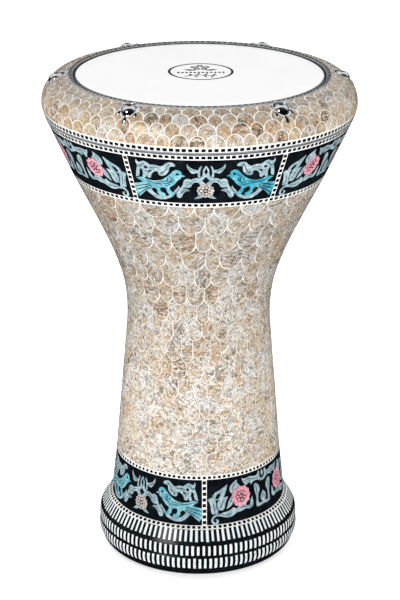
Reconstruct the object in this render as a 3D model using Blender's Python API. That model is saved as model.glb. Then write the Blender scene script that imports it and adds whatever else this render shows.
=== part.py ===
"""Goblet drum (darbuka): cast aluminium shell and tuning ring, inlaid with mother-of-pearl.

The drum stands on its foot: +Z is up and the origin is the centre of the base. Outlines are
(radius, height) pairs in millimetres, written from the floor upwards; MM turns them into metres.
The visible surface is described once. Each inlay is a thin skin behind its stretch of it, and
the castings lie behind the skins.
"""

import math

import bmesh
import bpy
from mathutils import Vector

MM = 0.001
SEGMENTS = 36
STEP = 2 * math.pi / SEGMENTS
FRONT = -math.pi / 2

# Layers, measured inwards from the visible surface.
SKIN = 1.7
GAP = 0.3
CASTING_DEPTH = SKIN + GAP
JOINT = 0.15

# The shell's visible surface, from the floor up to the seam under the tuning ring.
BASE_EDGE = [(84.2, 0.5), (88.3, 3.0), (91.2, 9.2)]
LOWER_BEAD = [(91.2, 9.2), (93.5, 15.3), (92.3, 21.8)]
MIDDLE_BEAD = [(92.3, 21.8), (93.0, 28.3), (90.6, 36.2)]
UPPER_FLARE = [(90.6, 36.2), (84.6, 45.8)]
FLARE_STRIP = [(84.6, 45.8), (81.2, 48.6)]
LOWER_BAND = [(81.2, 48.6), (76.5, 92.2)]
LOWER_BAND_STRIP = [(76.5, 92.2), (76.0, 96.2)]
STEM_AND_BOWL = [(76.0, 96.2), (73.2, 130.0), (70.2, 165.0), (67.2, 200.0), (65.2, 230.0),
                 (67.5, 258.0), (75.4, 285.0), (88.4, 315.0), (112.7, 364.0)]
UPPER_BAND_HEM = [(112.7, 364.0), (114.7, 368.2)]
UPPER_BAND = [(114.7, 368.2), (134.8, 412.8)]
SEAM_STRIP = [(134.8, 412.8), (136.4, 416.5)]
SHELL_STRETCHES = {
    "base_rim": BASE_EDGE,
    "foot_bars_lower": LOWER_BEAD,
    "foot_bars_middle": MIDDLE_BEAD,
    "foot_bars_upper": UPPER_FLARE,
    "lower_band_bottom_strip": FLARE_STRIP,
    "lower_band": LOWER_BAND,
    "lower_band_top_strip": LOWER_BAND_STRIP,
    "body_scale_inlay": STEM_AND_BOWL,
    "upper_band_bottom_strip": UPPER_BAND_HEM,
    "upper_band": UPPER_BAND,
    "upper_band_top_strip": SEAM_STRIP,
}

# The tuning ring's visible surface, from the seam up and over to the head opening.
RING_HEM = [(136.9, 417.7), (138.6, 423.7)]
SHOULDER_RADIUS = 23.0
SHOULDER_CENTRE = (116.0, 428.0)
SHOULDER_STEPS = 5
RING_EDGE = [(116.0, 451.0), (111.3, 451.7)]

# The drumhead: film over the bearing edge, drawn down to its hoop.
COLLAR_RADIUS = 109.2
COLLAR_WALL = 4.5
FILM = 0.3
FILM_TOP = 450.6
SKIRT_TOP = 447.7
SKIRT_BOTTOM = 429.6
HOOP_BOTTOM = 429.0
HOOP_TOP = 435.0
HOOP_OUTER_RADIUS = 115.8
RING_UNDERSIDE = 418.7
SHELF_TOP = 416.2

# Six tuning bolts, and what each one passes through.
BOLT_COUNT = 6
BOLT_CIRCLE = 125.5
BOLT_SIDES = 12
SHANK_RADIUS = 3.0
SHANK_TIP = 409.5
HEAD_RADIUS = 6.1
HEAD_SEAT = 443.6
HEAD_SHOULDER = 446.0
DOME_HEIGHT = 5.0
DOME_STEPS = 3
SOCKET_ACROSS_FLATS = 4.0
SOCKET_DEPTH = 3.0
CUP_SIDES = 16
CUP_WALL = 0.6
CUP_OUTER_RADIUS = 7.1
CUP_BORE_RADIUS = 3.5
CUP_LOBE_RADIUS = 11.0
CUP_NOTCH_RADIUS = 8.6
CUP_FLOOR = HEAD_SEAT - GAP - CUP_WALL
COUNTERBORE_RADIUS = 7.5
CLEARANCE_RADIUS = 3.6
INSERT_RADIUS = 4.2
INSERT_BORE_RADIUS = 3.4
INSERT_BOTTOM = 411.5
INSERT_TOP = 421.0
BOSS_RADIUS = 6.0
PILOT_BOTTOM = 407.5

# The picture bands are divided into panels by upright strips.
UPPER_PANELS = 6
LOWER_PANELS = 4
DIVIDER_WIDTH = 4.2
LOWER_BAND_TWIST = math.radians(1.8)

PEARL = (0.70, 0.55, 0.40)
WHITE_SHELL = (0.90, 0.89, 0.86)
BLACK_RESIN = (0.015, 0.018, 0.022)
BARE_ALUMINIUM = (0.55, 0.56, 0.57)


def clear_scene():
    for item in list(bpy.data.objects):
        bpy.data.objects.remove(item)


def material(name, colour, roughness, metallic=0.0):
    made = bpy.data.materials.get(name)
    if made is None:
        made = bpy.data.materials.new(name)
        made.use_nodes = True
        shader = made.node_tree.nodes["Principled BSDF"]
        shader.inputs["Base Color"].default_value = (*colour, 1.0)
        shader.inputs["Roughness"].default_value = roughness
        shader.inputs["Metallic"].default_value = metallic
    return made


def pearl():
    return material("pearl_inlay", PEARL, 0.2)


def dotted_strip():
    return material("dotted_strip", WHITE_SHELL, 0.25)


def black_resin():
    return material("black_resin", BLACK_RESIN, 0.15)


def cast_aluminium():
    return material("cast_aluminium", BARE_ALUMINIUM, 0.5, 1.0)


def chrome():
    return material("chrome", (0.8, 0.8, 0.82), 0.08, 1.0)


def object_from(name, mesh_data, look):
    """Turns a finished bmesh into a smooth-shaded object with one material."""
    bmesh.ops.recalc_face_normals(mesh_data, faces=mesh_data.faces)
    mesh = bpy.data.meshes.new(name)
    mesh_data.to_mesh(mesh)
    mesh_data.free()
    mesh.shade_smooth()
    mesh.set_sharp_from_angle(angle=math.radians(30))
    if look is not None:
        mesh.materials.append(look)
    made = bpy.data.objects.new(name, mesh)
    bpy.context.scene.collection.objects.link(made)
    return made


def inset(line, depth):
    """The line moved inwards by depth, with mitred corners. Upwards is towards the line's end."""
    normals = []
    for (r0, z0), (r1, z1) in zip(line, line[1:]):
        length = math.hypot(r1 - r0, z1 - z0)
        normals.append(((z1 - z0) / length, (r0 - r1) / length))
    moved = []
    for i, (r, z) in enumerate(line):
        before = normals[max(i - 1, 0)]
        after = normals[min(i, len(normals) - 1)]
        mitre = 1 + before[0] * after[0] + before[1] * after[1]
        moved.append((r - depth * (before[0] + after[0]) / mitre,
                      z - depth * (before[1] + after[1]) / mitre))
    return moved


def shortened(line, cut):
    """The line with both of its ends drawn in by cut, for the joint between two inlays."""
    def nearer(end, neighbour):
        length = math.hypot(neighbour[0] - end[0], neighbour[1] - end[1])
        return tuple(e + (n - e) * cut / length for e, n in zip(end, neighbour))
    return [nearer(line[0], line[1]), *line[1:-1], nearer(line[-1], line[-2])]


def joined(stretches):
    """One line through stretches that each start where the one before ends."""
    stretches = list(stretches)
    return stretches[0] + [point for stretch in stretches[1:] for point in stretch[1:]]


def skin_outlines(stretches):
    """Closed outlines of the inlays behind neighbouring stretches, which meet in mitred joints."""
    surface = joined(stretches.values())
    rear = inset(surface, SKIN)
    outlines = {}
    first = 0
    for name, stretch in stretches.items():
        end = first + len(stretch)
        outlines[name] = (shortened(surface[first:end], JOINT)
                          + shortened(rear[first:end], JOINT)[::-1])
        first = end - 1
    return outlines


def shoulder(radius):
    """The tuning ring's rounded shoulder, from its widest point up to its top."""
    turns = [math.pi / 2 * i / SHOULDER_STEPS for i in range(SHOULDER_STEPS + 1)]
    return [(SHOULDER_CENTRE[0] + radius * math.cos(t), SHOULDER_CENTRE[1] + radius * math.sin(t))
            for t in turns]


def shoulder_height(radius):
    """Height of the visible shoulder at this distance from the drum's axis."""
    across = radius - SHOULDER_CENTRE[0]
    return SHOULDER_CENTRE[1] + math.sqrt(SHOULDER_RADIUS ** 2 - across ** 2)


def turned(name, outline, look):
    """A ring: the closed outline spun once round the drum's axis."""
    shape = bmesh.new()
    corners = [shape.verts.new((r * MM, 0.0, z * MM)) for r, z in outline]
    edges = [shape.edges.new((a, b)) for a, b in zip(corners, corners[1:] + corners[:1])]
    bmesh.ops.spin(shape, geom=corners + edges, cent=(0, 0, 0), axis=(0, 0, 1),
                   angle=2 * math.pi, steps=SEGMENTS, use_merge=True)
    return object_from(name, shape, look)


def facet_scale(angle):
    """How far in a facet's face lies at this angle, against its corners."""
    within = angle % STEP - STEP / 2
    return math.cos(STEP / 2) / math.cos(within)


def add_sector(shape, outline, start, end):
    """Adds a slice of a ring between two angles, with its facets in line with the whole rings'."""
    first = math.floor(start / STEP + 1e-6) + 1
    last = math.ceil(end / STEP - 1e-6)
    stations = [start, *(k * STEP for k in range(first, last)), end]
    loops = []
    for angle in stations:
        reach = facet_scale(angle) * MM
        loops.append([shape.verts.new((r * reach * math.cos(angle), r * reach * math.sin(angle),
                                       z * MM)) for r, z in outline])
    for here, there in zip(loops, loops[1:]):
        for i in range(len(outline)):
            j = (i + 1) % len(outline)
            shape.faces.new((here[i], here[j], there[j], there[i]))
    shape.faces.new(loops[0])
    shape.faces.new(loops[-1])


def add_lathed(shape, centre, outline, sides):
    """Adds a small turned solid about an upright axis. The outline runs from axis to axis."""
    turn = 2 * math.pi / sides
    loops = []
    for r, z in outline:
        if r == 0:
            loops.append([shape.verts.new((centre[0], centre[1], z * MM))] * sides)
            continue
        loops.append([shape.verts.new((centre[0] + r * MM * math.cos(k * turn),
                                       centre[1] + r * MM * math.sin(k * turn), z * MM))
                      for k in range(sides)])
    for low, high in zip(loops, loops[1:] + ([loops[0]] if outline[0][0] else [])):
        for k in range(sides):
            n = (k + 1) % sides
            corners = list(dict.fromkeys((low[k], low[n], high[n], high[k])))
            shape.faces.new(corners)


def bolt_angles():
    """The bolts stand in line with the upper band's dividers."""
    return [FRONT + math.pi / BOLT_COUNT + i * 2 * math.pi / BOLT_COUNT for i in range(BOLT_COUNT)]


def bolt_centre(angle):
    return Vector((BOLT_CIRCLE * MM * math.cos(angle), BOLT_CIRCLE * MM * math.sin(angle), 0.0))


def posts(name, radius, bottom, top, sides):
    """A hidden helper: one upright post on each bolt's axis, for a Boolean."""
    shape = bmesh.new()
    for angle in bolt_angles():
        add_lathed(shape, bolt_centre(angle),
                   [(0, bottom), (radius, bottom), (radius, top), (0, top)], sides)
    helper = object_from(name, shape, None)
    helper.hide_render = True
    helper.display_type = "WIRE"
    return helper


def combine(target, helper, operation):
    change = target.modifiers.new(helper.name, "BOOLEAN")
    change.operation = operation
    change.object = helper
    change.solver = "EXACT"


def shell_outline():
    """The shell casting: foot, stem and bowl, a shelf for the lugs, and the collar for the head."""
    outside = inset(joined(SHELL_STRETCHES.values()), CASTING_DEPTH)[:-1]
    foot = [(79.9, 0.0), (82.9, 0.0)]
    rim = [(134.3, SHELF_TOP), (113.0, SHELF_TOP), (COLLAR_RADIUS, 420.0),
           (COLLAR_RADIUS, 447.8), (108.4, 449.3), (106.6, 450.0), (105.2, 450.0)]
    collar_inside = [(COLLAR_RADIUS - COLLAR_WALL, 449.2), (COLLAR_RADIUS - COLLAR_WALL, 409.0),
                     (112.0, 402.0), (120.0, 396.0)]
    inside = inset(STEM_AND_BOWL, CASTING_DEPTH + COLLAR_WALL)[::-1]
    foot_inside = [(74.6, 48.5), (84.5, 33.0), (85.6, 18.0), (83.5, 7.0)]
    return foot + outside + rim + collar_inside + inside + foot_inside


def make_shell():
    shell = turned("shell_casting", shell_outline(), cast_aluminium())
    combine(shell, posts("boss_helper", BOSS_RADIUS, SHELF_TOP - 2, INSERT_TOP - GAP, CUP_SIDES),
            "UNION")
    combine(shell, posts("insert_seat_helper", INSERT_RADIUS + GAP, INSERT_BOTTOM - GAP,
                         INSERT_TOP + 2, BOLT_SIDES), "DIFFERENCE")
    combine(shell, posts("pilot_helper", CLEARANCE_RADIUS, PILOT_BOTTOM, INSERT_BOTTOM, BOLT_SIDES),
            "DIFFERENCE")


def make_lug_inserts():
    brass = material("brass", (0.62, 0.46, 0.2), 0.35, 1.0)
    for i, angle in enumerate(bolt_angles(), 1):
        shape = bmesh.new()
        add_lathed(shape, bolt_centre(angle),
                   [(INSERT_BORE_RADIUS, INSERT_BOTTOM), (INSERT_RADIUS, INSERT_BOTTOM),
                    (INSERT_RADIUS, INSERT_TOP), (INSERT_BORE_RADIUS, INSERT_TOP)], BOLT_SIDES)
        object_from(f"lug_insert_{i}", shape, brass)


def ring_outline():
    """The tuning ring casting: rounded shoulder, inner lip over the hoop, hollow underside."""
    hem = inset([*RING_HEM, shoulder(SHOULDER_RADIUS)[0]], CASTING_DEPTH)[:-1]
    lip_radius = RING_EDGE[-1][0]
    lip_top = inset(RING_EDGE, CASTING_DEPTH)[-1][1]
    return ([(hem[0][0], RING_UNDERSIDE), hem[1]] + shoulder(SHOULDER_RADIUS - CASTING_DEPTH)
            + [(lip_radius, lip_top), (lip_radius, HOOP_TOP + GAP), (120.0, HOOP_TOP + GAP),
               (127.5, 432.0), (132.6, 424.5), (132.9, RING_UNDERSIDE)])


def make_tuning_ring():
    ring = turned("tuning_ring_casting", ring_outline(), cast_aluminium())
    skins = skin_outlines({"ring_hem_strip": RING_HEM,
                           "ring_scale_inlay": [RING_HEM[-1], *shoulder(SHOULDER_RADIUS)],
                           "ring_edge_strip": RING_EDGE})
    inlay = turned("ring_scale_inlay", skins["ring_scale_inlay"], pearl())
    for name in ("ring_edge_strip", "ring_hem_strip"):
        turned(name, skins[name], dotted_strip())
    seat_top = SHOULDER_CENTRE[1] + SHOULDER_RADIUS + SKIN
    combine(ring, posts("ring_hole_helper", CLEARANCE_RADIUS, SHELF_TOP, seat_top, BOLT_SIDES),
            "DIFFERENCE")
    counterbores = posts("counterbore_helper", COUNTERBORE_RADIUS, CUP_FLOOR - GAP, seat_top,
                         CUP_SIDES)
    combine(ring, counterbores, "DIFFERENCE")
    combine(inlay, counterbores, "DIFFERENCE")


def bolt_cup_mesh(angle):
    """A chrome cup that lines a counterbore. Its eight-lobed flange follows the shoulder."""
    shape = bmesh.new()
    centre = bolt_centre(angle)
    flange = [CUP_LOBE_RADIUS, CUP_NOTCH_RADIUS]
    bore = [CUP_BORE_RADIUS]
    tube = [CUP_OUTER_RADIUS]
    tube_inside = [CUP_OUTER_RADIUS - CUP_WALL]
    on_shoulder = 2 * GAP
    turn = 2 * math.pi / CUP_SIDES

    def loop(radii, height):
        """A loop of corners, level below the shoulder, or above it where height is small."""
        made = []
        for k in range(CUP_SIDES):
            r = radii[k % len(radii)] * MM
            x = centre.x + r * math.cos(angle + k * turn)
            y = centre.y + r * math.sin(angle + k * turn)
            level = height >= CUP_FLOOR
            z = height if level else shoulder_height(math.hypot(x, y) / MM) + height
            made.append(shape.verts.new((x, y, z * MM)))
        return made

    loops = [loop(bore, CUP_FLOOR), loop(tube, CUP_FLOOR), loop(tube, on_shoulder),
             loop(flange, on_shoulder), loop(flange, on_shoulder + CUP_WALL),
             loop(tube_inside, on_shoulder + CUP_WALL), loop(tube_inside, CUP_FLOOR + CUP_WALL),
             loop(bore, CUP_FLOOR + CUP_WALL)]
    for here, there in zip(loops, loops[1:] + loops[:1]):
        for k in range(CUP_SIDES):
            n = (k + 1) % CUP_SIDES
            shape.faces.new((here[k], here[n], there[n], there[k]))
    return shape


def make_bolt_cups():
    for i, angle in enumerate(bolt_angles(), 1):
        object_from(f"bolt_cup_{i}", bolt_cup_mesh(angle), chrome())


def bolt_mesh():
    """One dome-headed socket bolt, with its own axis at x = y = 0."""
    dome = []
    for i in range(1, DOME_STEPS):
        t = math.pi / 2 * i / DOME_STEPS
        dome.append((HEAD_RADIUS * math.cos(t), HEAD_SHOULDER + DOME_HEIGHT * math.sin(t)))
    outline = [(0, SHANK_TIP), (SHANK_RADIUS - 0.6, SHANK_TIP), (SHANK_RADIUS, SHANK_TIP + 0.8),
               (SHANK_RADIUS, HEAD_SEAT), (HEAD_RADIUS, HEAD_SEAT), (HEAD_RADIUS, HEAD_SHOULDER),
               *dome, (0, HEAD_SHOULDER + DOME_HEIGHT)]
    shape = bmesh.new()
    add_lathed(shape, (0.0, 0.0), outline, BOLT_SIDES)
    return shape


def make_tuning_bolts():
    socket_shape = bmesh.new()
    socket_corner = SOCKET_ACROSS_FLATS / math.sqrt(3)
    dome_top = HEAD_SHOULDER + DOME_HEIGHT
    for angle in bolt_angles():
        add_lathed(socket_shape, bolt_centre(angle),
                   [(0, dome_top - SOCKET_DEPTH), (socket_corner, dome_top - SOCKET_DEPTH),
                    (socket_corner, dome_top + 1), (0, dome_top + 1)], 6)
    sockets = object_from("socket_helper", socket_shape, None)
    sockets.hide_render = True
    sockets.display_type = "WIRE"
    for i, angle in enumerate(bolt_angles(), 1):
        bolt = object_from(f"tuning_bolt_{i}", bolt_mesh(), chrome())
        bolt.location = bolt_centre(angle)
        combine(bolt, sockets, "DIFFERENCE")


def make_drumhead():
    """Polyester film over the bearing edge, its drawn-down skirt, and the aluminium hoop."""
    skirt_inside = COLLAR_RADIUS + FILM
    skirt_outside = skirt_inside + FILM
    film = bmesh.new()
    add_lathed(film, (0.0, 0.0),
               [(0, FILM_TOP - FILM), (106.2, FILM_TOP - FILM), (108.3, 449.65),
                (skirt_inside, SKIRT_TOP + GAP), (skirt_outside, SKIRT_TOP + GAP),
                (108.6, 449.9), (106.4, FILM_TOP), (0, FILM_TOP)], SEGMENTS)
    film_white = material("film_white", (0.93, 0.93, 0.92), 0.4)
    object_from("drumhead_film", film, film_white)
    turned("drumhead_skirt", [(skirt_inside, SKIRT_BOTTOM), (skirt_outside, SKIRT_BOTTOM),
                              (skirt_outside, SKIRT_TOP), (skirt_inside, SKIRT_TOP)], film_white)
    hoop_inside = skirt_outside + GAP
    turned("drumhead_hoop", [(hoop_inside, HOOP_BOTTOM), (HOOP_OUTER_RADIUS, HOOP_BOTTOM),
                             (HOOP_OUTER_RADIUS, HOOP_TOP), (hoop_inside, HOOP_TOP)],
           cast_aluminium())


def make_band(band, outline, panels, twist, kinds):
    """A picture band: panels of black resin with a dotted upright strip between each two."""
    middle = sum(r for r, _ in outline) / len(outline)
    half_divider = DIVIDER_WIDTH / 2 / middle
    joint = JOINT / middle
    pitch = 2 * math.pi / panels
    for i in range(panels):
        start = FRONT + twist + i * pitch
        divider = bmesh.new()
        add_sector(divider, outline, start - half_divider + joint, start + half_divider - joint)
        object_from(f"{band}_divider_{i + 1}", divider, dotted_strip())
        panel = bmesh.new()
        add_sector(panel, outline, start + half_divider + joint,
                   start + pitch - half_divider - joint)
        object_from(f"{band}_{kinds[i % 2]}_panel_{i // 2 + 1}", panel, black_resin())


def make_shell_inlays():
    looks = {"body_scale_inlay": pearl, "foot_bars_lower": black_resin,
             "foot_bars_middle": black_resin, "foot_bars_upper": black_resin,
             "base_rim": black_resin}
    for name, outline in skin_outlines(SHELL_STRETCHES).items():
        if name == "upper_band":
            make_band("upper", outline, UPPER_PANELS, -math.pi / UPPER_PANELS, ("bird", "rose"))
        elif name == "lower_band":
            make_band("lower", outline, LOWER_PANELS, LOWER_BAND_TWIST, ("rose", "bird"))
        else:
            turned(name, outline, looks.get(name, dotted_strip)())


def main():
    clear_scene()
    make_shell()
    make_lug_inserts()
    make_tuning_ring()
    make_bolt_cups()
    make_tuning_bolts()
    make_drumhead()
    make_shell_inlays()


main()
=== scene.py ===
"""The look of the goblet drum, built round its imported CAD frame.

Every inlay is real geometry: the scales, the white strips' squares, the foot's bars and the birds
and flowers of the picture bands are thin closed solids set into their grounds.

Lengths are in millimetres until Surface.point turns them into metres. A turned surface follows a
line of (radius, height) points. A pattern is drawn flat, across and up, then laid on a surface.
"""

import bisect
import math
import random

import bmesh
import bpy
from mathutils import Matrix, Vector
from mathutils.geometry import delaunay_2d_cdt


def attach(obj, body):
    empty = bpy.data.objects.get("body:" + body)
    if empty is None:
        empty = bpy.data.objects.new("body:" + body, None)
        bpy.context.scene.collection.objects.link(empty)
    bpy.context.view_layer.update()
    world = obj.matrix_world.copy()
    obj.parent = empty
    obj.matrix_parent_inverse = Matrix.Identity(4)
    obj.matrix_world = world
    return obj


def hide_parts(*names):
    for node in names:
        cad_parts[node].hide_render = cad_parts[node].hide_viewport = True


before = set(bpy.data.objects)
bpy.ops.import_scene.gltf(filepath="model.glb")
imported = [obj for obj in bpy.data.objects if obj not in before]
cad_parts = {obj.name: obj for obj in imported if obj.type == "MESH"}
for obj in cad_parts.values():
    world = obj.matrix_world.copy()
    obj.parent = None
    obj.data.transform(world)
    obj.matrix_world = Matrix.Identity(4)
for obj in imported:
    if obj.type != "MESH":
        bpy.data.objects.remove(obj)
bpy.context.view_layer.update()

MM = 0.001
TURN = 2 * math.pi
FRONT = -math.pi / 2

# Shapes of the CAD frame, as (radius, height) outlines from the floor upwards.
BASE_EDGE = [(84.2, 0.5), (88.3, 3.0), (91.2, 9.2)]
LOWER_BEAD = [(91.2, 9.2), (93.5, 15.3), (92.3, 21.8)]
MIDDLE_BEAD = [(92.3, 21.8), (93.0, 28.3), (90.6, 36.2)]
UPPER_FLARE = [(90.6, 36.2), (84.6, 45.8)]
FLARE_STRIP = [(84.6, 45.8), (81.2, 48.6)]
LOWER_BAND = [(81.2, 48.6), (76.5, 92.2)]
LOWER_BAND_STRIP = [(76.5, 92.2), (76.0, 96.2)]
STEM_AND_BOWL = [(76.0, 96.2), (73.2, 130.0), (70.2, 165.0), (67.2, 200.0), (65.2, 230.0),
                 (67.5, 258.0), (75.4, 285.0), (88.4, 315.0), (112.7, 364.0)]
UPPER_BAND_HEM = [(112.7, 364.0), (114.7, 368.2)]
UPPER_BAND = [(114.7, 368.2), (134.25, 411.6)]
SEAM_STRIP = [(134.25, 411.6), (134.8, 412.8), (136.4, 416.5)]
RING_HEM = [(136.9, 417.7), (138.6, 423.7)]
SHOULDER_CENTRE = (116.0, 428.0)
SHOULDER_RADIUS = 23.0
RING_EDGE = [(116.0, 451.0), (113.8, 451.9), (111.4, 450.8)]
SKIN = 1.7

FILM_TOP = 450.6
FILM_THICKNESS = 0.3
FILM_EDGE = [(110.3, 448.0), (110.2, 449.3), (109.8, 450.0), (109.1, 450.4), (108.2, FILM_TOP)]
# The radii across which the film's edge is painted dark, as shade.
FILM_SHADE = (108.3, 108.9)
BADGE_RADIUS = 29.0
BADGE_LINE = 2.3
BADGE_RIGHT = 1.2
BADGE_BEHIND = 6.0
PRINT_LIFT = 0.04
PRINT_DEPTH = 0.05
LEVEL_REACH = 200.0

BOLT_COUNT = 6
BOLT_CIRCLE = 125.5
FIRST_BOLT = math.radians(-60)
SHANK_RADIUS = 3.0
SHANK_TIP = 409.5
SHANK_BEVEL = (0.6, 0.8)
SHANK_CORE = 0.01
HEAD_RADIUS = 6.75
HEAD_BEVEL = 0.3
HEAD_SEAT = 443.6
HEAD_SHOULDER = 446.6
DOME_HEIGHT = 5.4
SOCKET_SIDES = 6
SOCKET_ACROSS_FLATS = 4.0
SOCKET_DEPTH = 3.0
SOCKET_MARGIN = 0.35
SOCKET_BEVEL = 0.05
CUP_FLOOR = 442.7
CUP_WALL = 0.3
CUP_BORE_RADIUS = 3.5
CUP_TUBE_RADIUS = 7.1
CUP_BUTTONS = 6
BUTTON_CIRCLE = 8.9
BUTTON_RADIUS = 2.1
BUTTON_HEIGHT = 1.3
BUTTON_CORE = 0.05
CUP_CLEARANCE = 0.35
CUP_MARGIN = 0.9
CUP_REACH = math.radians(14)
FILLER_OVERLAP = 0.05

UPPER_PANELS = 6
LOWER_PANELS = 4
LOWER_BAND_TWIST = math.radians(1.8)
DIVIDER_WIDTH = 4.4
DIVIDER_SQUARE = 3.2
SQUARE_CORNER = 0.45

# Scales: each row's (lower end, count), as distances up the surface's line.
BODY_SCALES = [(-13.5, 34), (3.0, 34), (19.5, 34), (36.0, 33), (52.5, 33), (70.0, 33), (89.0, 33),
               (108.0, 33), (127.0, 33), (144.5, 32), (162.5, 32), (182.0, 32), (201.5, 31),
               (223.0, 31), (244.5, 31), (264.5, 31)]
RING_SCALES = [(-7.5, 61), (2.1, 61), (11.2, 61), (20.7, 61), (30.3, 61)]
SCALE_EDGE = 0.35
SCALE_STEPS = 14
GAP_SPREAD = (0.7, 1.2)

# The studio, in metres. The camera's lens is in millimetres.
FLOOR_RADIUS = 9.0
FLOOR_HEIGHT = -0.0004
FLOOR_SIDES = 96
CAMERA_DISTANCE = 1.6692
CAMERA_HEIGHT = 0.87914
CAMERA_AZIMUTH = math.radians(2.5)
CAMERA_PITCH = math.radians(21.024)
CAMERA_ROLL = math.radians(0.24)
CAMERA_LENS = 117.17
CAMERA_SHIFT = 0.0021
FILM_WIDTH = 36.0

# Lights: name, place, what it points at, size, power, and whether reflections show it.
LIGHTS = [("left_box", (-1.7, -2.1, 1.2), (0.0, 0.0, 0.25), (1.0, 1.6), 33, True),
          ("right_box", (1.3, -2.4, 1.5), (0.0, 0.0, 0.25), (0.9, 1.2), 27, False),
          ("overhead_fill", (0.0, 2.2, 4.5), (0.0, 2.2, 0.0), (6.0, 6.0), 110, False)]

# How the pieces are meshed. NO_GRID is wider than the bars and squares that need no grid.
RING_STEPS = 180
ARC_STEPS = 8
SHOULDER_STEPS = 24
LEAF_STEPS = 3
RIBBON_STEPS = 4
BOLT_STEPS = 48
BUTTON_STEPS = 20
GRID = 5.0
FILLER_GRID = 2.5
SQUARE_GRID = 0.8
NO_GRID = 9.0
SIDE_STEP = 3.0
FILLER_STEP = 2.0
FOOTPRINT_SIDES = 36
BODY_SECTORS = 8
RING_SECTORS = 6
MERGE_DISTANCE = 1e-7
PATTERN_TOLERANCE = 1e-5
SHARP_EDGE = math.radians(32)
SHARP_BEND = math.radians(70)

# How far each layer stands over its ground, and how deep it is set in.
SET_IN = 0.3
SQUARE_LIFT = 0.06
INLAY_LIFT = 0.14
SCALE_LIFT = 0.16

draw = random.Random(7)


def uneven(amount):
    """A random amount, as often below nought as above."""
    return draw.uniform(-amount, amount)


def tint(red, green, blue):
    """A display colour, 0 to 255 a channel, as the linear RGBA that shaders take."""
    def linear(value):
        share = value / 255
        return share / 12.92 if share <= 0.04045 else ((share + 0.055) / 1.055) ** 2.4
    return (linear(red), linear(green), linear(blue), 1.0)


# ---------------------------------------------------------------- turned surfaces


def arc_through(first, middle, last):
    """Points along the circle through three points."""
    (ax, ay), (bx, by), (cx, cy) = first, middle, last
    d = 2 * (ax * (by - cy) + bx * (cy - ay) + cx * (ay - by))
    a2, b2, c2 = ax * ax + ay * ay, bx * bx + by * by, cx * cx + cy * cy
    ox = (a2 * (by - cy) + b2 * (cy - ay) + c2 * (ay - by)) / d
    oy = (a2 * (cx - bx) + b2 * (ax - cx) + c2 * (bx - ax)) / d
    radius = math.hypot(ax - ox, ay - oy)
    start = math.atan2(ay - oy, ax - ox)
    end = math.atan2(cy - oy, cx - ox)
    angles = [start + (end - start) * i / ARC_STEPS for i in range(ARC_STEPS + 1)]
    return [(ox + radius * math.cos(angle), oy + radius * math.sin(angle)) for angle in angles]


def hermite(p, q, leaving, arriving, t):
    """A point of the smooth curve from p to q with the given end tangents."""
    t2, t3 = t * t, t * t * t
    return tuple(a * (2 * t3 - 3 * t2 + 1) + b * (3 * t2 - 2 * t3)
                 + m * (t3 - 2 * t2 + t) + n * (t3 - t2)
                 for a, b, m, n in zip(p, q, leaving, arriving))


def flowing(points, steps):
    """An open smooth line through the points."""
    tangents = [tuple((b - a) / 2 for a, b in zip(points[max(i - 1, 0)],
                                                  points[min(i + 1, len(points) - 1)]))
                for i in range(len(points))]
    line = [hermite(points[i], points[i + 1], tangents[i], tangents[i + 1], k / steps)
            for i in range(len(points) - 1) for k in range(steps)]
    return line + [points[-1]]


SHOULDER_START = math.asin((RING_HEM[-1][1] - SHOULDER_CENTRE[1]) / SHOULDER_RADIUS)


def shoulder_line():
    """The ring's rounded shoulder, from its hem up and over to the edge strip."""
    angles = [SHOULDER_START + (math.pi / 2 - SHOULDER_START) * i / SHOULDER_STEPS
              for i in range(SHOULDER_STEPS + 1)]
    return [(SHOULDER_CENTRE[0] + SHOULDER_RADIUS * math.cos(t),
             SHOULDER_CENTRE[1] + SHOULDER_RADIUS * math.sin(t)) for t in angles]


def shoulder_reach(radius):
    """Distance up the shoulder's line at a distance from the axis."""
    across = min(max((radius - SHOULDER_CENTRE[0]) / SHOULDER_RADIUS, 0.0), 1.0)
    return SHOULDER_RADIUS * (math.acos(across) - SHOULDER_START)


def shoulder_height(radius):
    """Height of the shoulder's surface at a distance from the axis."""
    across = min(max(radius - SHOULDER_CENTRE[0], 0.0), SHOULDER_RADIUS)
    return SHOULDER_CENTRE[1] + math.sqrt(SHOULDER_RADIUS ** 2 - across ** 2)


def bolt_angles():
    return [FIRST_BOLT + TURN * i / BOLT_COUNT for i in range(BOLT_COUNT)]


def bolt_centre(angle):
    return BOLT_CIRCLE * math.cos(angle), BOLT_CIRCLE * math.sin(angle)


class Surface:
    """A surface turned round the drum's axis. v is the distance up its line from the lower end."""

    def __init__(self, line):
        self.line = line
        self.reach = [0.0]
        facing = []
        for (r0, z0), (r1, z1) in zip(line, line[1:]):
            length = math.hypot(r1 - r0, z1 - z0)
            self.reach.append(self.reach[-1] + length)
            facing.append(((z1 - z0) / length, (r0 - r1) / length))
        self.normals = []
        for i in range(len(line)):
            before, after = facing[max(i - 1, 0)], facing[min(i, len(facing) - 1)]
            normal = (before[0] + after[0], before[1] + after[1])
            length = math.hypot(*normal)
            self.normals.append((normal[0] / length, normal[1] / length))
        self.length = self.reach[-1]

    def at(self, v):
        """(radius, height, the outward normal's two parts) at v."""
        i = min(max(bisect.bisect_right(self.reach, v) - 1, 0), len(self.line) - 2)
        t = (v - self.reach[i]) / (self.reach[i + 1] - self.reach[i])
        return [a + (b - a) * t for a, b in zip(self.line[i] + self.normals[i],
                                                self.line[i + 1] + self.normals[i + 1])]

    def radius(self, v):
        return self.at(v)[0]

    def point(self, angle, v, lift=0.0):
        """The point over (angle, v), lift mm proud of the surface, in metres."""
        r, z, outward, upward = self.at(v)
        r += lift * outward
        return Vector((r * math.cos(angle), r * math.sin(angle), z + lift * upward)) * MM


# ---------------------------------------------------------------- flat patterns


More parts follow.
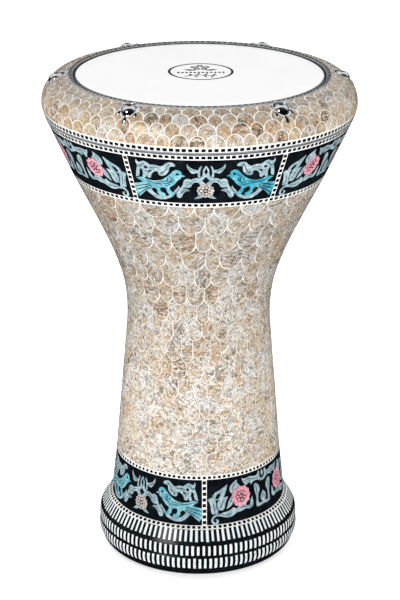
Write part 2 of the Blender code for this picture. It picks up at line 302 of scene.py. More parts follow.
def area(outline):
    return sum(a[0] * b[1] - b[0] * a[1] for a, b in zip(outline, outline[1:] + outline[:1])) / 2


def smooth(outline):
    """A closed outline made smooth, except where it turns sharply, as at a leaf's tip."""
    count = len(outline)
    leaving, arriving = [], []
    for i, (x, y) in enumerate(outline):
        px, py = outline[i - 1]
        nx, ny = outline[(i + 1) % count]
        before, after = (x - px, y - py), (nx - x, ny - y)
        bend = abs(math.remainder(math.atan2(after[1], after[0])
                                  - math.atan2(before[1], before[0]), TURN))
        if bend > SHARP_BEND:
            arriving.append(before)
            leaving.append(after)
        else:
            length_in, length_out = math.hypot(*before), math.hypot(*after)
            along = (before[0] / length_in + after[0] / length_out,
                     before[1] / length_in + after[1] / length_out)
            size = math.hypot(*along)
            arriving.append((along[0] / size * length_in, along[1] / size * length_in))
            leaving.append((along[0] / size * length_out, along[1] / size * length_out))
    made = []
    for i in range(count):
        n = (i + 1) % count
        made += [hermite(outline[i], outline[n], leaving[i], arriving[n], k / LEAF_STEPS)
                 for k in range(LEAF_STEPS)]
    return made


def ribbon(path, width):
    """An outline of even width along a smooth path, drawn in to a point at its far end."""
    line = flowing(path, RIBBON_STEPS)
    left, right = [], []
    for i, (x, y) in enumerate(line):
        (ax, ay), (bx, by) = line[max(i - 1, 0)], line[min(i + 1, len(line) - 1)]
        length = math.hypot(bx - ax, by - ay)
        half = width / 2 * min(1.0, 0.35 + 3 * (1 - i / (len(line) - 1)))
        across = ((ay - by) / length * half, (bx - ax) / length * half)
        left.append((x + across[0], y + across[1]))
        right.append((x - across[0], y - across[1]))
    return left + right[::-1]


def disc(x, y, radius, sides, lobes=0, depth=0.0):
    """A round outline, scalloped where lobes are given."""
    made = []
    for i in range(sides):
        t = TURN * i / sides
        r = radius - depth * abs(math.sin(lobes * t / 2)) ** 2 if lobes else radius
        made.append((x + r * math.cos(t), y + r * math.sin(t)))
    return made


def hoop(x, y, radius, width, sides):
    """A thin round groove, not quite closed: its outline leaves one side open."""
    return disc(x, y, radius + width / 2, sides) + disc(x, y, radius - width / 2, sides)[::-1]


def mirrored(outline):
    return [(-x, y) for x, y in reversed(outline)]


def rounded_square(x, y, width, height):
    """A square with its corners rounded off, about its centre."""
    w, h, corner = width / 2, height / 2, SQUARE_CORNER
    quarter = [(w, h - corner), (w - corner * 0.3, h - corner * 0.3), (w - corner, h)]
    made = quarter + [(-a, b) for a, b in reversed(quarter)]
    made += [(-a, -b) for a, b in quarter] + [(a, -b) for a, b in reversed(quarter)]
    return [(x + a, y + b) for a, b in made]


def upright(half, bottom, top, steps):
    """A bar, half its width on each side of 0, with points up its sides."""
    side = [(half, bottom + (top - bottom) * k / steps) for k in range(steps + 1)]
    return side + [(-x, y) for x, y in reversed(side)]


def between(start, end, length):
    """Points along a straight line, its first end among them, no more than length apart."""
    (ax, ay), (bx, by) = start, end
    steps = math.ceil(math.hypot(bx - ax, by - ay) / length)
    return [(ax + (bx - ax) * i / steps, ay + (by - ay) * i / steps) for i in range(steps)]


def finer(outline, length):
    """The outline with points added along its sides."""
    return [point for start, end in zip(outline, outline[1:] + outline[:1])
            for point in between(start, end, length)]


def region(solids, holes=(), limits=(), grid=GRID):
    """Triangles of all the solid outlines joined, less the holes, and inside the limits if any.

    Points on a grid inside let the faces follow a curved surface."""
    outlines = [*solids, *holes, *limits]
    points, faces = [], []
    for outline in outlines:
        if area(outline) < 0:
            outline = outline[::-1]
        faces.append(list(range(len(points), len(points) + len(outline))))
        points += [Vector(p) for p in outline]
    xs = [p[0] for outline in solids for p in outline]
    ys = [p[1] for outline in solids for p in outline]
    across = int((max(xs) - min(xs)) / grid)
    up = int((max(ys) - min(ys)) / grid)
    for i in range(across):
        for j in range(up):
            points.append(Vector((min(xs) + grid * (i + 0.5), min(ys) + grid * (j + 0.5))))
    corners, _, triangles, _, _, sources = delaunay_2d_cdt(points, [], faces, 0, PATTERN_TOLERANCE,
                                                          True)
    first_hole, first_limit = len(solids), len(solids) + len(holes)
    kept = []
    for triangle, source in zip(triangles, sources):
        solid = any(i < first_hole for i in source)
        hole = any(first_hole <= i < first_limit for i in source)
        inside = not limits or any(i >= first_limit for i in source)
        if solid and not hole and inside:
            kept.append(triangle)
    return corners, kept


# ---------------------------------------------------------------- pieces


class Piece:
    """Gathers the closed solids of one visible piece, then makes its object."""

    def __init__(self, name, body, slot, *nodes):
        self.name, self.body, self.slot, self.nodes = name, body, slot, nodes
        self.corners, self.faces, self.face_looks, self.seeds, self.flat = [], [], [], [], []
        self.looks = []

    def add(self, corners, faces, look, flat=None):
        """One solid. Its faces share a random seed, and flat holds its corners' flat places."""
        if look not in self.looks:
            self.looks.append(look)
        seed = (draw.random(), draw.random(), draw.random())
        base = len(self.corners)
        self.corners += corners
        self.faces += [tuple(i + base for i in face) for face in faces]
        self.face_looks += [self.looks.index(look)] * len(faces)
        self.seeds += [seed] * len(corners)
        self.flat += flat or [(c.x / MM, c.y / MM, c.z / MM) for c in corners]

    def lay(self, pattern, surface, place, lift, look, depth=SET_IN):
        """Lays a flat pattern on a surface. place turns a flat point into (angle, v)."""
        corners, triangles = pattern
        used = sorted({i for triangle in triangles for i in triangle})
        order = {corner: n for n, corner in enumerate(used)}
        count = len(used)
        places = [place(corners[i]) for i in used]
        points = [surface.point(a, v, lift) for a, v in places]
        points += [surface.point(a, v, -depth) for a, v in places]
        faces, rim = [], set()
        for triangle in triangles:
            a, b, c = (order[i] for i in triangle)
            faces += [(a, b, c), (a + count, c + count, b + count)]
            for edge in ((a, b), (b, c), (c, a)):
                if edge[::-1] in rim:
                    rim.remove(edge[::-1])
                else:
                    rim.add(edge)
        faces += [(b, a, a + count, b + count) for a, b in sorted(rim)]
        self.add(points, faces, look, [(*corners[i], 0.0) for i in used] * 2)

    def turn(self, outline, look, start=0.0, end=TURN):
        """A closed outline turned about the drum's axis, all the way or from start to end."""
        whole = end - start >= TURN
        steps = RING_STEPS if whole else round(RING_STEPS * (end - start) / TURN)
        angles = [start + (end - start) * i / steps for i in range(steps if whole else steps + 1)]
        corners = [Vector((r * math.cos(angle), r * math.sin(angle), z)) * MM
                   for angle in angles for r, z in outline]
        count = len(outline)
        loops = [list(range(i * count, (i + 1) * count)) for i in range(len(angles))]
        faces = [(here[k], there[k], there[(k + 1) % count], here[(k + 1) % count])
                 for here, there in zip(loops, loops[1:] + (loops[:1] if whole else []))
                 for k in range(count)]
        if not whole:
            faces += [tuple(loops[0]), tuple(reversed(loops[-1]))]
        self.add(corners, faces, look)

    def skin(self, line, look, start=0.0, end=TURN):
        """A skin of the inlay's thickness behind a line."""
        surface = Surface(line)
        behind = []
        for (r, z), (outward, upward) in zip(line, surface.normals):
            behind.append((r - SKIN * outward, z - SKIN * upward))
        self.turn(line + behind[::-1], look, start, end)

    def make(self):
        mesh = bpy.data.meshes.new(self.name)
        mesh.from_pydata(self.corners, [], self.faces)
        for look in self.looks:
            mesh.materials.append(look)
        mesh.polygons.foreach_set("material_index", self.face_looks)
        for name, values in (("seed", self.seeds), ("flat", self.flat)):
            attribute = mesh.attributes.new(name, "FLOAT_VECTOR", "POINT")
            attribute.data.foreach_set("vector", [x for value in values for x in value])
        shape = bmesh.new()
        shape.from_mesh(mesh)
        bmesh.ops.remove_doubles(shape, verts=shape.verts, dist=MERGE_DISTANCE)
        bmesh.ops.recalc_face_normals(shape, faces=shape.faces)
        shape.to_mesh(mesh)
        shape.free()
        mesh.shade_smooth()
        mesh.set_sharp_from_angle(angle=SHARP_EDGE)
        made = bpy.data.objects.new(self.name, mesh)
        bpy.context.scene.collection.objects.link(made)
        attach(made, self.body)
        if self.nodes:
            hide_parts(*self.nodes)


# ---------------------------------------------------------------- materials


class Look:
    """A procedural material under construction. Its patterns are measured in millimetres."""

    def __init__(self, name, **plain):
        self.material = bpy.data.materials.new(name)
        self.material.use_nodes = True
        self.tree = self.material.node_tree
        self.shader = self.tree.nodes["Principled BSDF"]
        for socket, value in plain.items():
            title = socket.replace("_", " ").title().replace("Ior", "IOR")
            self.shader.inputs[title].default_value = value

    def node(self, kind, settings=None, **inputs):
        made = self.tree.nodes.new(kind)
        for key, value in (settings or {}).items():
            setattr(made, key, value)
        for key, value in inputs.items():
            self.give(made.inputs[key.replace("_", " ")], value)
        return made

    def give(self, socket, value):
        if isinstance(value, bpy.types.NodeSocket):
            self.tree.links.new(value, socket)
        else:
            socket.default_value = value

    def solid_space(self):
        """Object coordinates in millimetres."""
        source = self.node("ShaderNodeTexCoord").outputs["Object"]
        return self.scaled(source, (1 / MM,) * 3)

    def combined(self, kind, operation, a, b):
        made = self.node(kind, {"operation": operation})
        self.give(made.inputs[0], a)
        self.give(made.inputs[1], b)
        return made.outputs[0]

    def scaled(self, vector, factors):
        return self.combined("ShaderNodeVectorMath", "MULTIPLY", vector, factors)

    def plus(self, vector, other):
        return self.combined("ShaderNodeVectorMath", "ADD", vector, other)

    def calc(self, operation, a, b):
        return self.combined("ShaderNodeMath", operation, a, b)

    def attribute(self, name):
        return self.node("ShaderNodeAttribute", {"attribute_name": name}).outputs["Vector"]

    def seeded_space(self):
        """Flat coordinates, turned and shifted by each solid's own seed."""
        seed = self.attribute("seed")
        turned = self.node("ShaderNodeVectorRotate", {"rotation_type": "Z_AXIS"},
                           Vector=self.attribute("flat"),
                           Angle=self.calc("MULTIPLY", self.part(seed, 0), math.pi))
        return self.plus(turned.outputs["Vector"], self.scaled(seed, (400.0, 700.0, 500.0)))

    def part(self, vector, index):
        return self.node("ShaderNodeSeparateXYZ", Vector=vector).outputs[index]

    def noise(self, space, size, detail=3.0, roughness=0.55, twist=0.0):
        """Cloudy noise whose patches are about size mm across."""
        return self.node("ShaderNodeTexNoise", Vector=space, Scale=1 / size, Detail=detail,
                         Roughness=roughness, Distortion=twist).outputs[0]

    def cells(self, space, size):
        """Random colours in cells of about size mm."""
        return self.node("ShaderNodeTexVoronoi", Vector=space, Scale=1 / size).outputs["Color"]

    def ramp(self, factor, *stops, hard=False):
        """Colours or greys along a factor, from (place, colour) stops."""
        made = self.node("ShaderNodeValToRGB", Fac=factor)
        ramp = made.color_ramp
        ramp.interpolation = "CONSTANT" if hard else "LINEAR"
        while len(ramp.elements) < len(stops):
            ramp.elements.new(1.0)
        for element, (place, colour) in zip(ramp.elements, stops):
            element.position = place
            element.color = colour if isinstance(colour, tuple) else (colour,) * 3 + (1.0,)
        return made.outputs["Color"]

    def mix(self, factor, a, b, kind="MIX"):
        made = self.node("ShaderNodeMix", {"data_type": "RGBA", "blend_type": kind})
        self.give(made.inputs[0], factor)
        self.give(made.inputs[6], a)
        self.give(made.inputs[7], b)
        return made.outputs[2]

    def spread(self, factor, given, wanted):
        """A factor whose given (low, high) is spread between the wanted two values."""
        return self.node("ShaderNodeMapRange", Value=factor, From_Min=given[0],
                         From_Max=given[1], To_Min=wanted[0], To_Max=wanted[1]).outputs[0]

    def range(self, factor, low, high):
        """A 0 to 1 factor spread between two values."""
        return self.spread(factor, (0.0, 1.0), (low, high))

    def finish(self, colour, roughness, height=None, depth=0.05):
        """Links the colour, the roughness, and a relief of depth mm."""
        self.give(self.shader.inputs["Base Color"], colour)
        self.give(self.shader.inputs["Roughness"], roughness)
        if height is not None:
            bump = self.node("ShaderNodeBump", Height=height, Distance=depth * MM, Strength=1.0)
            self.give(self.shader.inputs["Normal"], bump.outputs["Normal"])
        return self.material


WARM_SHELL = [(0.0, tint(248, 245, 240)), (0.42, tint(232, 218, 198)),
              (0.51, tint(218, 196, 160)), (0.60, tint(202, 174, 124)),
              (0.70, tint(198, 156, 110)), (0.77, tint(222, 200, 184)),
              (0.84, tint(162, 132, 88)), (0.95, tint(110, 90, 62))]
COOL_SHELL = [(0.0, tint(250, 250, 250)), (0.3, tint(216, 218, 217)), (0.55, tint(234, 232, 228)),
              (0.74, tint(190, 192, 190)), (0.88, tint(150, 150, 142))]


def flake_colours(look, flakes, own, whole, scatter, silvery):
    """Each flake's colour, warm or cool. The cool ones drift in clouds over the whole piece."""
    kind = look.calc("ADD", look.calc("MULTIPLY", look.part(flakes, 0), scatter),
                    look.calc("MULTIPLY", look.noise(own, 7.0, 3.0, 0.6), 0.72))
    kind = look.calc("ADD", kind, look.calc("MULTIPLY", look.part(look.attribute("seed"), 1),
                                            0.74 - scatter))
    warm = look.ramp(kind, *WARM_SHELL, hard=True)
    cool = look.ramp(look.part(flakes, 1), *COOL_SHELL, hard=True)
    drift = look.calc("ADD", look.noise(whole, 15.0, 3.0),
                     look.calc("MULTIPLY", look.part(flakes, 2), 0.3))
    silver = look.ramp(drift, (0.0, silvery[0]), (0.66, silvery[1]), hard=True)
    return look.mix(silver, warm, cool)


def glints_and_specks(look, colour, warped, own, whole):
    """The colour with white glints along the grain, and clusters of dark specks."""
    glints = look.ramp(look.noise(look.scaled(warped, (0.6, 1.0, 1.0)), 1.1, 2.0, 0.7),
                       (0.56, 0.0), (0.62, 0.95))
    colour = look.mix(glints, colour, tint(252, 251, 248))
    clusters = look.ramp(look.noise(whole, 15.0, 2.0), (0.42, 0.25), (0.6, 1.0))
    specks = look.ramp(look.noise(own, 1.3, 2.0, 0.7), (0.36, 0.85), (0.42, 0.0))
    return look.mix(look.calc("MULTIPLY", clusters, specks), colour, tint(84, 74, 60))


def scale_shell(name, flake, scatter, crushed, silvery, glow, shade_heights, shade_tones):
    """Mother-of-pearl: flakes of white, tan, ochre, pink and grey, with dark specks.

    flake is their size, scatter how far their colours differ within a scale, crushed how
    strongly grains show in them, silvery the least and most share of grey, glow their warm tint.
    tones are the greys of painted shade they are multiplied by at the two heights, darker higher
    up."""
    look = Look(name, coat_weight=0.3, coat_roughness=0.08, specular_ior_level=0.4)
    own = look.seeded_space()
    whole = look.solid_space()
    seed = look.attribute("seed")
    warp = look.node("ShaderNodeTexNoise", Vector=own, Scale=0.45, Detail=2.0).outputs["Color"]
    warped = look.scaled(look.plus(own, look.scaled(warp, (3.2,) * 3)), (0.5, 1.0, 1.0))
    flakes = look.cells(warped, flake)
    grains = look.cells(warped, flake * 0.45)
    colour = flake_colours(look, flakes, own, whole, scatter, silvery)
    shade = look.ramp(look.part(grains, 0), (0.0, 0.42), (0.2, 0.84), (0.5, 1.0), (0.85, 1.2))
    colour = look.mix(crushed, colour, shade, "MULTIPLY")
    colour = look.mix(look.part(seed, 2), colour, glow, "MULTIPLY")
    stained = look.ramp(look.part(seed, 0), (0.0, 0.0), (0.9, 0.4), hard=True)
    colour = look.mix(stained, colour, tint(246, 210, 164), "MULTIPLY")
    colour = glints_and_specks(look, colour, warped, own, whole)
    # Painted shade: the scales are made darker higher up, where less light reaches them.
    height_shade = look.spread(look.part(whole, 2), shade_heights, shade_tones)
    colour = look.mix(1.0, colour, height_shade, "MULTIPLY")
    rough = look.range(look.part(grains, 1), 0.16, 0.38)
    return look.finish(colour, rough, look.part(flakes, 2), 0.02)


def scale_ground():
    """The cream-white filler whose lines show between the scales."""
    look = Look("scale_filler", coat_weight=0.2, coat_roughness=0.06, specular_ior_level=0.4)
    space = look.solid_space()
    colour = look.ramp(look.noise(space, 14.0), (0.3, tint(248, 247, 244)),
                       (0.7, tint(236, 232, 226)))
    stains = look.ramp(look.noise(space, 3.0, 4.0), (0.62, 0.0), (0.8, 0.4))
    colour = look.mix(stains, colour, tint(200, 176, 148))
    return look.finish(colour, look.range(look.noise(space, 2.0), 0.2, 0.4),
                       look.noise(space, 0.8), 0.02)


def white_shell(name, bright, worn):
    """Polished white inlay, a little uneven in tone."""
    look = Look(name, coat_weight=0.2, coat_roughness=0.05, specular_ior_level=0.4)
    space = look.solid_space()
    colour = look.ramp(look.noise(space, 6.0, 4.0), (0.35, bright), (0.75, worn))
    grime = look.ramp(look.noise(space, 1.1, 3.0, 0.7), (0.66, 0.0), (0.82, 0.45))
    colour = look.mix(grime, colour, tint(150, 150, 146))
    return look.finish(colour, look.range(look.noise(space, 1.5), 0.15, 0.35),
                       look.noise(space, 0.6), 0.015)


def black_resin(name, gloss):
    """Near-black lacquer with faint blue clouds and polishing marks."""
    look = Look(name, specular_ior_level=gloss)
    space = look.solid_space()
    colour = look.ramp(look.noise(space, 9.0, 4.0), (0.35, tint(6, 9, 13)),
                       (0.75, tint(22, 29, 36)))
    marks = look.noise(look.scaled(space, (1.0, 1.0, 0.15)), 0.7, 2.0)
    return look.finish(colour, look.range(marks, 0.12, 0.32), marks, 0.006)


def pearl_figure(name, light, middle, dark):
    """Stained mother-of-pearl for the pictures, with growth lines in each piece."""
    look = Look(name, coat_weight=0.2, coat_roughness=0.06, specular_ior_level=0.4)
    own = look.seeded_space()
    clouds = look.noise(own, 7.0, 3.0, 0.6, 1.2)
    colour = look.ramp(clouds, (0.30, light), (0.52, middle), (0.74, dark))
    lines = look.noise(look.scaled(own, (0.16, 1.0, 1.0)), 0.8, 2.0, 0.6)
    colour = look.mix(0.45, colour, look.ramp(lines, (0.32, 0.45), (0.5, 0.95), (0.68, 1.2)),
                      "MULTIPLY")
    glow = look.ramp(look.noise(own, 3.2, 2.0), (0.58, 0.0), (0.74, 0.5))
    colour = look.mix(glow, colour, tint(240, 248, 250))
    return look.finish(colour, look.range(lines, 0.15, 0.4), lines, 0.02)


def chrome():
    look = Look("polished_chrome", metallic=1.0)
    space = look.solid_space()
    smears = look.noise(space, 2.5, 3.0)
    colour = look.ramp(smears, (0.3, tint(214, 216, 218)), (0.8, tint(176, 178, 182)))
    return look.finish(colour, look.range(smears, 0.03, 0.13), look.noise(space, 1.2), 0.008)


def cast_aluminium():
    """Sand-cast metal: grainy, dull, with darker oxidised patches."""
    look = Look("cast_metal", metallic=1.0)
    space = look.solid_space()
    patches = look.noise(space, 22.0, 5.0, 0.65)
    colour = look.ramp(patches, (0.3, tint(176, 177, 178)), (0.7, tint(128, 129, 130)))
    grain = look.noise(space, 0.9, 3.0, 0.7)
    return look.finish(colour, look.range(patches, 0.42, 0.66), grain, 0.12)


def brass():
    look = Look("turned_brass", metallic=1.0)
    space = look.solid_space()
    rings = look.noise(look.scaled(space, (0.2, 0.2, 3.0)), 0.6, 2.0)
    colour = look.ramp(rings, (0.3, tint(206, 170, 96)), (0.7, tint(176, 138, 70)))
    return look.finish(colour, look.range(rings, 0.2, 0.4), rings, 0.02)


def head_film():
    """Coated white polyester with a fine frosted grain, and painted shade near its edge, where it
    bends down.
    """
    look = Look("frosted_film", coat_weight=0.15, coat_roughness=0.3)
    space = look.solid_space()
    colour = look.ramp(look.noise(space, 40.0, 4.0), (0.35, tint(247, 247, 247)),
                       (0.8, tint(243, 243, 243)))
    level = look.scaled(space, (1.0, 1.0, 0.0))
    radius = look.node("ShaderNodeVectorMath", {"operation": "LENGTH"}, Vector=level)
    # Painted shade on the film's rolled edge, dark where it turns down into the gap by the ring.
    edge_shade = look.spread(radius.outputs["Value"], FILM_SHADE, (0.0, 1.0))
    colour = look.mix(edge_shade, colour, tint(52, 56, 60))
    grain = look.noise(space, 0.7, 2.0)
    return look.finish(colour, look.range(grain, 0.36, 0.52), grain, 0.012)


def ink():
    look = Look("printed_ink", specular_ior_level=0.05)
    space = look.solid_space()
    wear = look.noise(space, 0.9, 3.0, 0.7)
    colour = look.ramp(wear, (0.5, tint(16, 16, 18)), (0.9, tint(60, 60, 64)))
    return look.finish(colour, look.range(wear, 0.4, 0.6), wear, 0.004)


def studio_floor():
    look = Look("pale_floor", emission_color=(1.0, 1.0, 1.0, 1.0), emission_strength=0.6)
    space = look.solid_space()
    colour = look.ramp(look.noise(space, 300.0, 2.0), (0.3, tint(250, 250, 250)),
                       (0.7, tint(247, 247, 247)))
    return look.finish(colour, look.range(look.noise(space, 20.0), 0.6, 0.7))


# Both kinds of scale darken higher up with painted shade, between the two heights given.
BODY_PEARL = scale_shell("body_pearl", flake=1.7, scatter=0.48, crushed=0.9, silvery=(0.16, 0.88),
                         glow=tint(255, 250, 241), shade_heights=(190.0, 290.0), shade_tones=(0.93, 0.62))
RING_PEARL = scale_shell("ring_pearl", flake=2.4, scatter=0.36, crushed=0.4, silvery=(0.05, 0.5),
                         glow=tint(255, 242, 218), shade_heights=(436.0, 450.0), shade_tones=(0.84, 0.52))
FILLER = scale_ground()
WHITE = white_shell("white_strip", tint(250, 250, 248), tint(238, 236, 230))
# The ring's edge strip is white inlay painted grey: painted shade, as it faces up and away from the
# light.
SHADED_EDGE_WHITE = white_shell("edge_strip_painted_shade", tint(146, 150, 154), tint(112, 116, 120))
CAST_EDGE = white_shell("bare_edge", tint(160, 164, 168), tint(136, 140, 144))
BAR_WHITE = white_shell("white_bars", tint(247, 250, 252), tint(226, 236, 242))
BLACK = black_resin("black_ground", 0.3)
DULL_BLACK = black_resin("black_squares", 0.05)
FOLIAGE = pearl_figure("pearl_leaves", tint(190, 208, 213), tint(150, 178, 187),
                       tint(104, 140, 151))
TURQUOISE = pearl_figure("pearl_turquoise", tint(96, 192, 208), tint(52, 160, 184),
                         tint(26, 112, 140))
AQUA = pearl_figure("pearl_aqua", tint(164, 212, 220), tint(112, 184, 198),
                    tint(62, 138, 160))
PINK = pearl_figure("pearl_pink", tint(240, 190, 198), tint(226, 150, 166),
                    tint(200, 116, 138))
BEIGE = pearl_figure("pearl_beige", tint(222, 216, 208), tint(204, 196, 188),
                     tint(172, 162, 152))
CHROME = chrome()
ALUMINIUM = cast_aluminium()
BRASS = brass()
FILM_WHITE = head_film()
INK = ink()


# ---------------------------------------------------------------- strips, bars and rims


def round_place(surface, count, index, offset):
    """Lays a flat pattern round the index-th of count equal places, true to size there."""
    centre = FRONT + TURN * (index + offset) / count
    def place(point):
        return centre + point[0] / surface.radius(point[1]), point[1]
    return place


def stretch(surface, low, high):
    """The part of a surface's line between two distances along it."""
    inner = [point for point, v in zip(surface.line, surface.reach) if low < v < high]
    return [tuple(surface.at(low)[:2]), *inner, tuple(surface.at(high)[:2])]


def dotted_ring(name, body, node, line, count, square, bands, shift):
    """A strip all the way round, with a row of black squares let into it.

    square is their width and height, and bands the strip's (low, high, look) parts across."""
    piece = Piece(name, body, "dotted_strip", node)
    surface = Surface(line)
    for low, high, look in bands:
        piece.skin(stretch(surface, low, high or surface.length), look)
    middle = surface.length / 2 + shift
    for i in range(count):
        size = 1 + uneven(0.06)
        outline = rounded_square(uneven(0.12), middle + uneven(0.08), square[0] * size,
                                 square[1] * size)
        piece.lay(region([finer(outline, SQUARE_GRID)], grid=SQUARE_GRID), surface,
                  round_place(surface, count, i, 0.5), SQUARE_LIFT, DULL_BLACK)
    piece.make()


def barred_ring(name, node, line, count, low, high, width, offset):
    """A black bead with upright white bars let into it, from low to high up its line.

    offset is how far, in bars, the first one stands from the front."""
    piece = Piece(name, "shell", "black_resin", node)
    piece.skin(line, BLACK)
    surface = Surface(line)
    for i in range(count):
        half = width / 2 * (1 + uneven(0.12))
        bottom, top = low + uneven(0.35), high + uneven(0.3)
        bar = upright(half, bottom, top, 5)
        piece.lay(region([bar], grid=NO_GRID), surface, round_place(surface, count, i, offset),
                  SQUARE_LIFT, BAR_WHITE)
    piece.make()


def make_strips():
    white = [(0.0, None, WHITE)]
    # The ring hem, from its lower edge up: bare metal, a black line of painted shadow from the gap
    # beneath it, then white.
    metal_lip_and_painted_shadow = [(0.0, 0.75, CAST_EDGE), (0.77, 1.1, BLACK), (1.12, None, WHITE)]
    capped = [(0.0, 4.75, WHITE), (4.77, None, CAST_EDGE)]
    for name, body, node, line, count, square, bands, shift in (
            # The ring's edge strip takes the white inlay painted grey as shade.
            ("ring_edge_dots", "tuning_ring", "ring_edge_strip", arc_through(*RING_EDGE), 138,
             (3.6, 3.0), [(0.0, None, SHADED_EDGE_WHITE)], 0.1),
            ("ring_hem_dots", "tuning_ring", "ring_hem_strip", RING_HEM, 162, (3.6, 3.0), metal_lip_and_painted_shadow,
             0.25),
            ("upper_band_top_dots", "shell", "upper_band_top_strip", SEAM_STRIP, 168,
             (3.6, 3.0), capped, 0.05),
            ("upper_band_bottom_dots", "shell", "upper_band_bottom_strip", UPPER_BAND_HEM, 138,
             (3.2, 2.9), white, 0.0),
            ("lower_band_top_dots", "shell", "lower_band_top_strip", LOWER_BAND_STRIP, 104,
             (2.6, 2.4), white, 0.0),
            ("lower_band_bottom_dots", "shell", "lower_band_bottom_strip", FLARE_STRIP, 108,
             (2.8, 2.6), white, 0.2)):
        dotted_ring(name, body, node, line, count, square, bands, shift)


def make_foot():
    barred_ring("upper_bars", "foot_bars_upper", UPPER_FLARE, count=112, low=0.4, high=11.1,
                width=2.25, offset=0.0)
    barred_ring("middle_bars", "foot_bars_middle", arc_through(*MIDDLE_BEAD), count=115, low=1.8,
                high=11.2, width=2.3, offset=0.3)
    barred_ring("lower_bars", "foot_bars_lower", arc_through(*LOWER_BEAD), count=119, low=1.0,
                high=11.8, width=2.3, offset=0.6)
    rim = Piece("black_base_rim", "shell", "black_resin", "base_rim")
    rim.skin(arc_through(*BASE_EDGE), BLACK)
    rim.make()


# ---------------------------------------------------------------- mother-of-pearl scales


def scale_outline(left, right, bottom, top, grow, roundness):
    """A scale that hangs down: upright sides and a rounded lower end, grown on all sides."""
    arc = (right - left) * roundness
    left, right, bottom = left - grow, right + grow, bottom - grow
    middle, half = (left + right) / 2, (right - left) / 2
    curve = []
    for i in range(SCALE_STEPS + 1):
        t = math.pi * i / SCALE_STEPS
        curve.append((middle - half * math.cos(t), bottom + arc * (1 - math.sin(t))))
    return [(right, top), *between((left, top), curve[0], SIDE_STEP), *curve,
            *between(curve[-1], (right, top), SIDE_STEP)[1:]]


def scale_rows(layout):
    """For each row of (lower end, count), its scales as (left, right, lower end), uneven.

    The sides are angles from the front. Rows lie half a scale out from each other there."""
    rows = []
    for k, (bottom, count) in enumerate(layout):
        pitch = TURN / count
        step = abs(layout[min(k + 1, len(layout) - 1)][0] - layout[min(k, len(layout) - 2)][0])
        lines = [pitch * (j + 0.5 * (k % 2) + uneven(0.18)) for j in range(count)]
        lines.append(lines[0] + TURN)
        rows.append([(left, right, bottom + uneven(0.08) * step)
                     for left, right in zip(lines, lines[1:])])
    return rows


def over(row, middle, reach):
    """The scales of a row within reach of an angle, moved round the turn next to it."""
    found = []
    for left, right, bottom in row:
        shift = middle + math.remainder((left + right) / 2 - middle, TURN) - (left + right) / 2
        if abs((left + right) / 2 + shift - middle) < reach:
            found.append((left + shift, right + shift, bottom))
    return found


def holes_near(cut_outs, middle, radius, length, flip):
    """The cut-outs within reach of an angle, as outlines on the side of the turn next to it."""
    return [[((middle + math.remainder(a - middle, TURN)) * radius, length - v if flip else v)
             for a, v in cut]
            for cut, angle in cut_outs
            if abs(math.remainder(middle - angle, TURN)) < CUP_REACH]


def clear_of_edges(scale, length):
    """The stretch of surface that a scale may fill, short of the surface's two edges."""
    corner = (scale[0][0] + 1, SCALE_EDGE)
    lower = between((scale[1][0] - 1, SCALE_EDGE), corner, SIDE_STEP) + [corner]
    return lower + [(x, length - SCALE_EDGE) for x, _ in reversed(lower)]


def add_scales(pieces, surface, look, layout, roundness, gap, flip, cut_outs=()):
    """Fills a surface with overlapping scales, gap mm apart. flip turns them to point up."""
    rows = scale_rows(layout)
    length = surface.length
    for k, row in enumerate(rows):
        last = k + 1 == len(rows)
        top = length if last else rows[k + 1][0][2]
        level = min(max((row[0][2] + top) / 2, 0.0), length)
        radius = surface.radius(length - level if flip else level)

        def place(point):
            return FRONT + point[0] / radius, length - point[1] if flip else point[1]

        def shape(scale, grow, reach):
            return scale_outline(scale[0] * radius, scale[1] * radius, scale[2], reach, grow,
                                 roundness)

        for left, right, bottom in row:
            middle = (left + right) / 2
            ceiling = top + (right - left) * radius
            own = shape((left, right, bottom), -gap / 2 * draw.uniform(*GAP_SPREAD), ceiling)
            above = [] if last else over(rows[k + 1], middle, 1.5 * (right - left))
            holes = [shape(scale, gap / 2, 2 * ceiling) for scale in above]
            holes += holes_near(cut_outs, middle, radius, length, flip)
            pattern = region([own], holes, [clear_of_edges(own, length)])
            if pattern[1]:
                share = middle / TURN % 1.0
                pieces[int(share * len(pieces))].lay(pattern, surface, place, SCALE_LIFT, look)


def cup_footprint(angle, radius):
    """The (angle, v) points on the shoulder at a radius round a bolt, counted from the front."""
    made = []
    for x, y in disc(*bolt_centre(angle), radius, FOOTPRINT_SIDES):
        made.append((math.atan2(y, x) - FRONT, shoulder_reach(math.hypot(x, y))))
    return made


def body_sectors(line, count):
    """The sectors of the body's scale inlay, each with its stretch of filler."""
    pieces = []
    for i in range(count):
        piece = Piece(f"body_scales_{i + 1}", "shell", "pearl_inlay", "body_scale_inlay")
        piece.skin(line, FILLER, FRONT + TURN * i / count, FRONT + TURN * (i + 1) / count)
        pieces.append(piece)
    return pieces


def ring_sectors(surface, count):
    """The sectors of the ring's scale inlay, their filler bored for the bolts' cups."""
    pieces = []
    around = BOLT_CIRCLE * TURN / count
    holes = [[(a % TURN * BOLT_CIRCLE, v)
              for a, v in cup_footprint(angle, CUP_TUBE_RADIUS - FILLER_OVERLAP)]
             for angle in bolt_angles()]

    def place(point):
        return FRONT + point[0] / BOLT_CIRCLE, point[1]

    for i in range(count):
        piece = Piece(f"ring_scales_{i + 1}", "tuning_ring", "pearl_inlay", "ring_scale_inlay")
        first, last = around * i, around * (i + 1)
        outline = finer([(first, 0.0), (last, 0.0), (last, surface.length),
                         (first, surface.length)], FILLER_STEP)
        inside = [hole for hole in holes if first < hole[0][0] < last]
        piece.lay(region([outline], inside, grid=FILLER_GRID), surface, place, 0.0, FILLER)
        pieces.append(piece)
    return pieces


